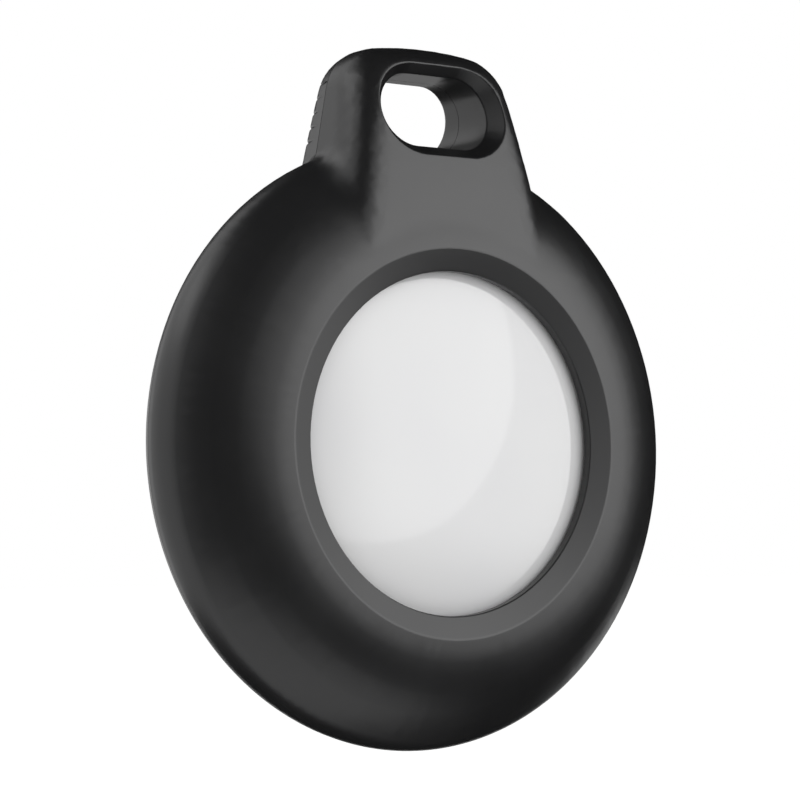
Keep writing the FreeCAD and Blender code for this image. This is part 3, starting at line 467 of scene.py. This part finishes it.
def dipped_tin():
    """Tin from a dip: a soft white metal with a smeared, uneven gloss."""
    material, tree, place = new_material("dipped_tin")
    smear = add(tree, "ShaderNodeTexNoise", [("Vector", place)], Scale=1 / (0.15 * MM), Detail=2.0)
    colour = add(tree, "ShaderNodeValToRGB", [("Fac", smear.outputs["Fac"])],
                 stops=[(PATTERN_LOW, "#b9b9b8"), (PATTERN_HIGH, "#d2d2d0")])
    gloss = add(tree, "ShaderNodeMapRange", [("Value", smear.outputs["Fac"])],
                From_Min=PATTERN_LOW, From_Max=PATTERN_HIGH, To_Min=0.28, To_Max=0.42)
    shade = add(tree, "ShaderNodeBsdfPrincipled", [
        ("Base Color", colour.outputs["Color"]),
        ("Roughness", gloss.outputs["Result"]),
    ], Metallic=1.0)
    add(tree, "ShaderNodeOutputMaterial", [("Surface", shade.outputs["BSDF"])])
    return material


def capacitor_tree(ceramic, tin):
    """Blocks on an arc round the disc's axis, each a ceramic body between two larger tinned ends."""
    tree, given = node_group("capacitor_arc", [
        ("Count", "NodeSocketInt"), ("Ring Radius", "NodeSocketFloat"), ("Start", "NodeSocketFloat"),
        ("Sweep", "NodeSocketFloat"), ("Body", "NodeSocketVector"), ("End", "NodeSocketVector"),
        ("End Shift", "NodeSocketVector"), ("Place", "NodeSocketVector")])
    body = add(tree, "GeometryNodeMeshCube", [("Size", given["Body"])])
    end = add(tree, "GeometryNodeMeshCube", [("Size", given["End"])])
    tinned = add(tree, "GeometryNodeStoreNamedAttribute", [("Geometry", end.outputs["Mesh"])],
                 data_type="BOOLEAN", domain="FACE", Name="tinned", Value=True)
    outer = add(tree, "GeometryNodeTransform", [
        ("Geometry", tinned.outputs["Geometry"]), ("Translation", given["End Shift"])])
    back_shift = add(tree, "ShaderNodeVectorMath", [(0, given["End Shift"])], operation="SCALE", Scale=-1)
    inner = add(tree, "GeometryNodeTransform", [
        ("Geometry", tinned.outputs["Geometry"]), ("Translation", back_shift.outputs["Vector"])])
    block = add(tree, "GeometryNodeJoinGeometry")
    for part in (body.outputs["Mesh"], outer.outputs["Geometry"], inner.outputs["Geometry"]):
        tree.links.new(block.inputs["Geometry"], part)
    softened = add(tree, "GeometryNodeSubdivisionSurface", [("Mesh", block.outputs["Geometry"])],
                   Level=2, Edge_Crease=0.85)
    arc = add(tree, "GeometryNodeCurveArc", [
        ("Resolution", given["Count"]), ("Radius", given["Ring Radius"]), ("Start Angle", given["Start"]),
        ("Sweep Angle", given["Sweep"])])
    points = add(tree, "GeometryNodeCurveToPoints", [("Curve", arc.outputs["Curve"])], mode="EVALUATED")
    number = add(tree, "GeometryNodeInputIndex")
    steps = add(tree, "ShaderNodeMath", [(0, given["Count"]), (1, 1)], operation="SUBTRACT")
    share = add(tree, "ShaderNodeMath", [(0, number.outputs[0]), (1, steps.outputs[0])], operation="DIVIDE")
    angle = add(tree, "ShaderNodeMath", [
        (0, share.outputs[0]), (1, given["Sweep"]), (2, given["Start"])], operation="MULTIPLY_ADD")
    turn = add(tree, "ShaderNodeCombineXYZ", [("Z", angle.outputs[0])])
    row = add(tree, "GeometryNodeInstanceOnPoints", [
        ("Points", points.outputs["Points"]), ("Instance", softened.outputs["Mesh"]),
        ("Rotation", turn.outputs["Vector"])])
    stood = add(tree, "GeometryNodeTransform", [
        ("Geometry", row.outputs["Instances"]), ("Translation", given["Place"])], Rotation=(math.pi / 2, 0, 0))
    real = add(tree, "GeometryNodeRealizeInstances", [("Geometry", stood.outputs["Geometry"])])
    smooth = add(tree, "GeometryNodeSetShadeSmooth", [("Geometry", real.outputs["Geometry"])])
    fired = add(tree, "GeometryNodeSetMaterial", [("Geometry", smooth.outputs["Geometry"])], Material=ceramic)
    is_tin = add(tree, "GeometryNodeInputNamedAttribute", data_type="BOOLEAN", Name="tinned")
    dipped = add(tree, "GeometryNodeSetMaterial", [
        ("Geometry", fired.outputs["Geometry"]), ("Selection", is_tin.outputs["Attribute"])], Material=tin)
    add(tree, "NodeGroupOutput", [("Geometry", dipped.outputs["Geometry"])])
    return tree


CAPACITORS = 12
CAPACITOR_PITCH = math.radians(12.5)
low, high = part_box("board_capacitors")
length, width, height = 0.8 * MM, 0.45 * MM, high.y - low.y
end_length = 0.2 * MM
sweep = CAPACITOR_PITCH * (CAPACITORS - 1)
capacitors = grown("capacitor_row", capacitor_tree(fired_ceramic(), dipped_tin()), {
    "Count": CAPACITORS, "Ring Radius": -low.x - length / 2, "Start": math.pi - sweep, "Sweep": sweep,
    "Body": (length - end_length, width * 0.92, height * 0.9), "End": (end_length, width, height),
    "End Shift": ((length - end_length) / 2, 0, 0),
    "Place": (disc_centre.x, (low.y + high.y) / 2, disc_centre.z)})
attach(capacitors, "tag")
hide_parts("board_capacitors")


# Battery tray and contacts: a pale moulding snapped into the dome, with the cell's well on its back.
# Two side strips touch the cell's can and a leaf touches its cap; all are stamped from plated spring strip.
dress(pale_plastic, "battery_tray")
dress(strip_steel, "positive_contacts", "negative_contact")


# Coin cell: a drawn steel can crimped over a ring gasket and a cap, 20 mm across and 3.2 mm thick.
# In it lie a pressed black cathode, a felt separator and a disc of soft pale metal.
def ring_gasket():
    """Moulded polypropylene: a dark, waxy grey with a faint bloom."""
    material, tree, place = new_material("waxy_polypropylene")
    bloom = add(tree, "ShaderNodeTexNoise", [("Vector", place)], Scale=1 / (0.9 * MM), Detail=3.0)
    colour = add(tree, "ShaderNodeValToRGB", [("Fac", bloom.outputs["Fac"])],
                 stops=[(PATTERN_LOW, "#77777d"), (PATTERN_HIGH, "#85858b")])
    gloss = add(tree, "ShaderNodeMapRange", [("Value", bloom.outputs["Fac"])],
                From_Min=PATTERN_LOW, From_Max=PATTERN_HIGH, To_Min=0.4, To_Max=0.55)
    shade = add(tree, "ShaderNodeBsdfPrincipled", [
        ("Base Color", colour.outputs["Color"]),
        ("Roughness", gloss.outputs["Result"]),
    ], IOR=1.49)
    add(tree, "ShaderNodeOutputMaterial", [("Surface", shade.outputs["BSDF"])])
    return material


def pressed_powder():
    """Pressed oxide powder: a sooty black with crumbs of about 0.1 mm and no gloss."""
    material, tree, place = new_material("pressed_oxide_powder")
    crumbs = add(tree, "ShaderNodeTexVoronoi", [("Vector", place)], Scale=1 / (0.1 * MM))
    bump = add(tree, "ShaderNodeBump", [("Height", crumbs.outputs["Distance"])],
               Strength=0.5, Distance=0.04 * MM)
    colour = add(tree, "ShaderNodeValToRGB", [("Fac", crumbs.outputs["Distance"])],
                 stops=[(PATTERN_LOW, "#2b2a29"), (PATTERN_HIGH, "#363533")])
    shade = add(tree, "ShaderNodeBsdfPrincipled", [
        ("Base Color", colour.outputs["Color"]),
        ("Normal", bump.outputs["Normal"]),
    ], Roughness=0.95)
    add(tree, "ShaderNodeOutputMaterial", [("Surface", shade.outputs["BSDF"])])
    return material


def white_felt():
    """Non-woven felt: off-white fibres lying at random, 0.03 mm thick and drawn at 0.15 mm to show."""
    material, tree, place = new_material("nonwoven_felt")
    fibres = add(tree, "ShaderNodeTexNoise", [("Vector", place)],
                 Scale=1 / (0.15 * MM), Detail=5.0, Distortion=3.0)
    bump = add(tree, "ShaderNodeBump", [("Height", fibres.outputs["Fac"])], Strength=0.4, Distance=0.03 * MM)
    colour = add(tree, "ShaderNodeValToRGB", [("Fac", fibres.outputs["Fac"])],
                 stops=[(PATTERN_LOW, "#d9d7cf"), (PATTERN_HIGH, "#ebeae4")])
    shade = add(tree, "ShaderNodeBsdfPrincipled", [
        ("Base Color", colour.outputs["Color"]),
        ("Normal", bump.outputs["Normal"]),
    ], Roughness=0.95, Sheen_Weight=0.2)
    add(tree, "ShaderNodeOutputMaterial", [("Surface", shade.outputs["BSDF"])])
    return material


def rolled_soft_metal():
    """Rolled alkali metal: silver grey with a dull skin in long faint patches along the rolling."""
    material, tree, place = new_material("rolled_soft_metal")
    stretch = add(tree, "ShaderNodeMapping", [("Vector", place)], Scale=(0.15, 1.0, 1.0))
    skin = add(tree, "ShaderNodeTexNoise", [("Vector", stretch.outputs["Vector"])],
               Scale=1 / (0.6 * MM), Detail=4.0)
    colour = add(tree, "ShaderNodeValToRGB", [("Fac", skin.outputs["Fac"])],
                 stops=[(PATTERN_LOW, "#a2a4a6"), (PATTERN_HIGH, "#c3c5c7")])
    gloss = add(tree, "ShaderNodeMapRange", [("Value", skin.outputs["Fac"])],
                From_Min=PATTERN_LOW, From_Max=PATTERN_HIGH, To_Min=0.62, To_Max=0.42)
    shade = add(tree, "ShaderNodeBsdfPrincipled", [
        ("Base Color", colour.outputs["Color"]),
        ("Roughness", gloss.outputs["Result"]),
    ], Metallic=1.0)
    add(tree, "ShaderNodeOutputMaterial", [("Surface", shade.outputs["BSDF"])])
    return material


dress(nickel_plate("nickel_plated_drawn_can", "#b4b2ac", "#c6c4be", 0.2, 0.32, (1.0, 0.12, 1.0)),
      "coin_cell_can", "coin_cell_cap")
dress(ring_gasket(), "coin_cell_gasket")
dress(pressed_powder(), "cell_cathode")
dress(white_felt(), "cell_separator")
dress(rolled_soft_metal(), "cell_anode")


# Battery cover: a lid pressed from stainless sheet, satin-polished outside, seen in the rear window.
# Three tabs on its skirt lock under the tray when it is turned, and a foam pad inside presses on the cell.
def satin_stainless():
    """Stainless steel, satin-polished as it turns: neutral and soft, with faint round marks in its gloss.

    The marks are about 0.02 mm apart and are drawn at 0.3 mm, because finer than that they can't show.
    """
    material, tree, place = new_material("satin_stainless_steel")
    centred = add(tree, "ShaderNodeMapping", [("Vector", place)], Location=tuple(-disc_centre))
    rings = add(tree, "ShaderNodeTexWave", [("Vector", centred.outputs["Vector"])], wave_type="RINGS",
                rings_direction="Y", Scale=math.tau / (20 * 0.3 * MM), Distortion=4.0, Detail=3.0)
    grit = add(tree, "ShaderNodeTexNoise", [("Vector", place)], Scale=1 / (0.2 * MM), Detail=2.0)
    bump = add(tree, "ShaderNodeBump", [("Height", grit.outputs["Fac"])], Strength=0.03, Distance=0.01 * MM)
    colour = add(tree, "ShaderNodeValToRGB", [("Fac", rings.outputs["Fac"])],
                 stops=[(PATTERN_LOW, "#bdbdbe"), (PATTERN_HIGH, "#cbcbcb")])
    gloss = add(tree, "ShaderNodeMapRange", [("Value", rings.outputs["Fac"])],
                From_Min=PATTERN_LOW, From_Max=PATTERN_HIGH, To_Min=0.32, To_Max=0.38)
    shade = add(tree, "ShaderNodeBsdfPrincipled", [
        ("Base Color", colour.outputs["Color"]),
        ("Roughness", gloss.outputs["Result"]),
        ("Normal", bump.outputs["Normal"]),
    ], Metallic=1.0)
    add(tree, "ShaderNodeOutputMaterial", [("Surface", shade.outputs["BSDF"])])
    return material


def open_foam():
    """Open-cell foam: dark grey, pitted all over with cells of about 0.3 mm, and no shine."""
    material, tree, place = new_material("open_cell_foam")
    cells = add(tree, "ShaderNodeTexVoronoi", [("Vector", place)], Scale=1 / (0.3 * MM))
    bump = add(tree, "ShaderNodeBump", [("Height", cells.outputs["Distance"])],
               Strength=0.8, Distance=0.12 * MM)
    colour = add(tree, "ShaderNodeValToRGB", [("Fac", cells.outputs["Distance"])],
                 stops=[(PATTERN_LOW, "#2c2c2d"), (PATTERN_HIGH, "#454547")])
    shade = add(tree, "ShaderNodeBsdfPrincipled", [
        ("Base Color", colour.outputs["Color"]),
        ("Normal", bump.outputs["Normal"]),
    ], Roughness=0.9)
    add(tree, "ShaderNodeOutputMaterial", [("Surface", shade.outputs["BSDF"])])
    return material


moulded("battery_cover", "steel_lid", "cover", satin_stainless(), lambda edge: False,
        RIM_ROUND)
dress(open_foam(), "cover_pad")


# Front shell: the cap of the case, moulded like the rear shell, with the front window and its half of the lug.
# Its skirt screws into the rear shell by three catches and holds the tag down.
# The lug grows out of the disc with soft corners, wider than a ball cutter leaves.
SOFT_STEP = 0.4 * MM
SOFT_SPLITS = 6
SOFT_ROUNDS = 250
KEPT_RIM = 0.25 * MM
LUG_SHARE = 0.08
# In mm from the disc's centre: the flank's foot line and its reach, the slot and the land kept round it.
FLANK_TOP, FLANK_FOOT, FLANK_REACH = Vector((8.0, -2.3, 17.2)), Vector((6.9, -4.1, 15.1)), 2.5
SLOT_HALF, SLOT_MIDDLE, SLOT_LAND = 1.8, 21.85, 3.4
# Where the softening ends, in mm, each with the length over which it fades: side, foot, back, and front face.
LUG_SIDE, LUG_FOOT, LUG_BACK, LUG_FACE = (11.5, 2.0), (11.5, 2.5), (-0.2, 1.5), (5.5, 1.0)


def soft_share(vert):
    """1 along the feet of the lug's flanks, little on the rest of the lug, 0 on the disc."""
    spot = (vert.co - disc_centre) / MM
    spot.x = abs(spot.x)
    from_slot = math.hypot(max(0.0, spot.x - SLOT_HALF), spot.z - SLOT_MIDDLE)
    if spot.y > (PARTING - PARTING_BAND) / MM or from_slot < SLOT_LAND:
        return 0.0
    inside = (LUG_SIDE[0] - spot.x) / LUG_SIDE[1]
    above = (spot.z - LUG_FOOT[0]) / LUG_FOOT[1]
    before = (LUG_BACK[0] - spot.y) / LUG_BACK[1]
    on_lug = max(0.0, min(1.0, inside, above, before))
    along = intersect_point_line(spot, FLANK_TOP, FLANK_FOOT)[1]
    nearest = FLANK_TOP.lerp(FLANK_FOOT, max(0.0, min(1.0, along)))
    beside_face = max(0.0, min(1.0, (spot.x - LUG_FACE[0]) / LUG_FACE[1]))
    return on_lug * max(LUG_SHARE, beside_face * (1 - (spot - nearest).length / FLANK_REACH))


def soft_lug(mesh, rim_faces):
    """Fine triangles on the lug, evened out so that its corners and feet run soft; its rims stay.

    After the first rounds, which ease the lug's corners, a point only moves outwards, so the outline stays.
    """
    mesh.faces.index_update()
    numbers = [face.index for face in rim_faces]
    on_rim = mesh.faces.layers.int.new("rim")
    mesh.faces.ensure_lookup_table()
    for number in numbers:
        mesh.faces[number][on_rim] = 1
    for split in range(SOFT_SPLITS):
        bmesh.ops.triangulate(mesh, faces=mesh.faces)
        long = [edge for edge in mesh.edges if edge.calc_length() > SOFT_STEP
                and max(soft_share(vert) for vert in edge.verts) > 0]
        bmesh.ops.subdivide_edges(mesh, edges=long, cuts=1)
    bmesh.ops.triangulate(mesh, faces=mesh.faces)
    kept = {vert for face in mesh.faces if face[on_rim] for vert in face.verts}
    kept.update(vert for edge in mesh.edges if not edge.is_manifold
                or (edge.is_convex and edge.calc_face_angle() > RIM_ANGLE) for vert in edge.verts)
    mesh.faces.layers.int.remove(on_rim)
    rims = KDTree(len(kept))
    for number, vert in enumerate(kept):
        rims.insert(vert.co, number)
    rims.balance()
    mesh.normal_update()
    mesh.verts.index_update()
    walls = BVHTree.FromBMesh(mesh)
    share = np.zeros(len(mesh.verts))
    for vert in mesh.verts:
        wanted = soft_share(vert)
        if wanted > 0 and walls.ray_cast(vert.co + vert.normal * KEPT_RIM, vert.normal)[0] is None:
            share[vert.index] = min(wanted, (rims.find(vert.co)[2] - KEPT_RIM) / MM)
    spots = np.array([vert.co for vert in mesh.verts])
    outward = np.array([vert.normal for vert in mesh.verts])
    ends = np.array([[vert.index for vert in edge.verts] for edge in mesh.edges])
    ends = np.concatenate([ends, ends[:, ::-1]])
    neighbours = np.bincount(ends[:, 0], minlength=len(spots))[:, None]
    for step in range(SOFT_ROUNDS):
        total = [np.bincount(ends[:, 0], spots[ends[:, 1], axis], len(spots)) for axis in range(3)]
        shift = (np.stack(total, axis=1) / neighbours - spots) / 2
        if step > LUG_SHARE * SOFT_ROUNDS:
            shift -= np.minimum(0.0, np.sum(shift * outward, axis=1))[:, None] * outward
        spots += np.where(share > step / SOFT_ROUNDS, 1.0, 0.0)[:, None] * shift
    for vert in mesh.verts:
        vert.co = spots[vert.index]


moulded("front_shell", "front_case", "front", case_plastic, shows, RIM_ROUND, soft_lug)


# Floor and backdrop: a plain pale table well below the object, and a white studio behind it.
# The table takes the object's soft shadow; its glow makes up for the little light that falls on it.
FLOOR_DROP = 40 * MM
FLOOR_SIZE = 8.0
TABLE_GLOW = 0.55
STUDIO_FILL = 0.55
low, high = cad_box
bpy.ops.mesh.primitive_plane_add(size=FLOOR_SIZE, location=(0, 0, low.z - FLOOR_DROP))
floor = bpy.context.object
floor.name = "floor"
floor.visible_glossy = False
material, tree, place = new_material("pale_table_paper")
fleck = add(tree, "ShaderNodeTexNoise", [("Vector", place)], Scale=1 / (3 * MM), Detail=2.0)
colour = add(tree, "ShaderNodeValToRGB", [("Fac", fleck.outputs["Fac"])],
             stops=[(PATTERN_LOW, "#f2f2f2"), (PATTERN_HIGH, "#f5f5f5")])
paper = add(tree, "ShaderNodeBsdfDiffuse", [("Color", colour.outputs["Color"])])
path = add(tree, "ShaderNodeLightPath")
seen = add(tree, "ShaderNodeMath", [(0, path.outputs["Is Camera Ray"]), (1, TABLE_GLOW)], operation="MULTIPLY")
glow = add(tree, "ShaderNodeEmission", [("Strength", seen.outputs[0])])
total = add(tree, "ShaderNodeAddShader", [(0, paper.outputs[0]), (1, glow.outputs[0])])
add(tree, "ShaderNodeOutputMaterial", [("Surface", total.outputs[0])])
floor.data.materials.append(material)

world = bpy.data.worlds.new("white_studio")
bpy.context.scene.world = world
world.use_nodes = True
tree = world.node_tree
tree.nodes.clear()
path = add(tree, "ShaderNodeLightPath")
seen = add(tree, "ShaderNodeMath", [
    (0, path.outputs["Is Camera Ray"]), (1, path.outputs["Is Glossy Ray"])], operation="MAXIMUM")
seen = add(tree, "ShaderNodeMath", [
    (0, seen.outputs[0]), (1, path.outputs["Is Transmission Ray"])], operation="MAXIMUM")
level = add(tree, "ShaderNodeMapRange", [("Value", seen.outputs[0])], To_Min=STUDIO_FILL, To_Max=1.0)
sky = add(tree, "ShaderNodeBackground", [("Strength", level.outputs["Result"])], Color=(1, 1, 1, 1))
add(tree, "ShaderNodeOutputWorld", [("Surface", sky.outputs[0])])


# Studio light: a round softbox at the front right lights the object, and a small one at the left rear its rim.
# A wide one with faded edges shows only in reflections. Black cloth round the rest keeps dark bands on the
# case; it is open at the left, behind and over the table.
def direction(azimuth, elevation):
    """Unit vector from the object; azimuth 0 is the front (-Y) and 90 the right (+X)."""
    a, e = math.radians(azimuth), math.radians(elevation)
    return Vector((math.sin(a) * math.cos(e), -math.cos(a) * math.cos(e), math.sin(e)))


def softbox(name, shape, azimuth, elevation, distance, half_width, half_height, radiance, feather=0.0):
    """Lamp that fills the given half-angles, seen from the object; feather is the share of it that fades."""
    lamp = bpy.data.lights.new(name, "AREA")
    lamp.shape = shape
    lamp.size = 2 * distance * math.tan(math.radians(half_width))
    lamp.size_y = 2 * distance * math.tan(math.radians(half_height))
    fill = math.pi / 4 if shape == "ELLIPSE" else 1
    lamp.energy = radiance * math.pi * lamp.size * lamp.size_y * fill
    holder = bpy.data.objects.new(name, lamp)
    bpy.context.scene.collection.objects.link(holder)
    away = direction(azimuth, elevation)
    holder.location = disc_centre + away * distance
    holder.rotation_mode = "QUATERNION"
    holder.rotation_quaternion = away.to_track_quat("Z", "Y")
    if feather:
        lamp.use_nodes = True
        tree = lamp.node_tree
        tree.nodes.clear()
        spot = add(tree, "ShaderNodeNewGeometry").outputs["Parametric"]
        spot = add(tree, "ShaderNodeVectorMath", [(0, spot), (1, (0.5, 0.5, 0.5))], operation="SUBTRACT")
        spot = add(tree, "ShaderNodeVectorMath", [(0, spot.outputs[0])], operation="ABSOLUTE")
        spot = add(tree, "ShaderNodeSeparateXYZ", [(0, spot.outputs[0])])
        fade = [add(tree, "ShaderNodeMapRange", [("Value", spot.outputs[axis])],
                    interpolation_type="SMOOTHSTEP", From_Min=0.5 * (1 - feather), From_Max=0.5,
                    To_Min=1.0, To_Max=0.0) for axis in "XY"]
        both = add(tree, "ShaderNodeMath", [
            (0, fade[0].outputs[0]), (1, fade[1].outputs[0])], operation="MULTIPLY")
        shine = add(tree, "ShaderNodeEmission", [("Strength", both.outputs[0])])
        add(tree, "ShaderNodeOutputLight", [("Surface", shine.outputs[0])])
    return holder


softbox("round_softbox", "ELLIPSE", 19, 17, 0.50, 30, 30, 0.97)
wide = softbox("wide_softbox", "RECTANGLE", 43, 9, 0.52, 36, 31, 2.35, feather=0.5)
wide.visible_diffuse = False
softbox("rim_softbox", "RECTANGLE", -114, 42, 0.50, 19, 9, 1.2)


def drawn_back(azimuth, elevation):
    """True where the cloth leaves the white studio in sight; angles in degrees, as for the lamps."""
    # The left side is open down to the table, but less far down towards the back.
    left_foot = -20 - 0.5 * max(0.0, 180 + azimuth) if azimuth < -115 else -90
    at_left = azimuth < -62 and left_foot < elevation < 60
    # A gap behind and a low strip from there to the right show in the steel lid and on the lower rim.
    behind = azimuth > 162 and -20 < elevation < 10
    low_strip = azimuth > 112 and -22 < elevation < -8
    # Over the table, the cloth hangs lower towards the right.
    over_table = -115 < azimuth < 60 and elevation < -37 - 0.14 * max(0.0, azimuth + 40)
    return at_left or behind or low_strip or over_table


CLOTH_RADIUS = 1.2
bpy.ops.mesh.primitive_uv_sphere_add(segments=120, ring_count=60, radius=CLOTH_RADIUS, location=disc_centre)
cloth = bpy.context.object
cloth.name = "black_cloth"
mesh = bmesh.new()
mesh.from_mesh(cloth.data)
gone = []
for face in mesh.faces:
    centre = face.calc_center_median().normalized()
    if drawn_back(math.degrees(math.atan2(centre.x, -centre.y)), math.degrees(math.asin(centre.z))):
        gone.append(face)
bmesh.ops.delete(mesh, geom=gone, context="FACES")
mesh.to_mesh(cloth.data)
mesh.free()
material, tree, place = new_material("black_velvet")
nap = add(tree, "ShaderNodeTexNoise", [("Vector", place)], Scale=1 / (20 * MM), Detail=2.0)
colour = add(tree, "ShaderNodeValToRGB", [("Fac", nap.outputs["Fac"])],
             stops=[(PATTERN_LOW, "#1e1e1e"), (PATTERN_HIGH, "#242424")])
velvet = add(tree, "ShaderNodeBsdfDiffuse", [("Color", colour.outputs["Color"])])
add(tree, "ShaderNodeOutputMaterial", [("Surface", velvet.outputs[0])])
cloth.data.materials.append(material)
cloth.visible_camera = False
cloth.visible_diffuse = False
cloth.visible_shadow = False
cloth.visible_transmission = False


# Camera: a long lens slightly below the disc's centre, from the front left, its lens set for a frame 800
# pixels wide.
# Its angles and aim were fitted to the outline of the disc, the window and the slot.
SENSOR = 36.0
PIXELS = 800
CAMERA_AZIMUTH, CAMERA_ELEVATION, CAMERA_ROLL = -35.137, -3.235, -0.547
CAMERA_DISTANCE = 180 * MM
PIXELS_PER_MM = 15.155
AIM_RIGHT, AIM_UP = 0.999 * MM, -3.033 * MM
back = direction(CAMERA_AZIMUTH, CAMERA_ELEVATION)
right = Vector((math.cos(math.radians(CAMERA_AZIMUTH)), math.sin(math.radians(CAMERA_AZIMUTH)), 0))
up = back.cross(right)
roll = math.radians(CAMERA_ROLL)
across = math.cos(roll) * right + math.sin(roll) * up
upward = -math.sin(roll) * right + math.cos(roll) * up
lens = bpy.data.cameras.new("camera")
lens.sensor_width = SENSOR
lens.lens = PIXELS_PER_MM * CAMERA_DISTANCE / MM / PIXELS * SENSOR
lens.clip_start = 0.01
camera = bpy.data.objects.new("camera", lens)
bpy.context.scene.collection.objects.link(camera)
camera.matrix_world = Matrix.Translation(
    disc_centre + back * CAMERA_DISTANCE - across * AIM_RIGHT - upward * AIM_UP
) @ Matrix((across, upward, back)).transposed().to_4x4()
bpy.context.scene.camera = camera
bpy.context.scene.view_settings.view_transform = "Standard"
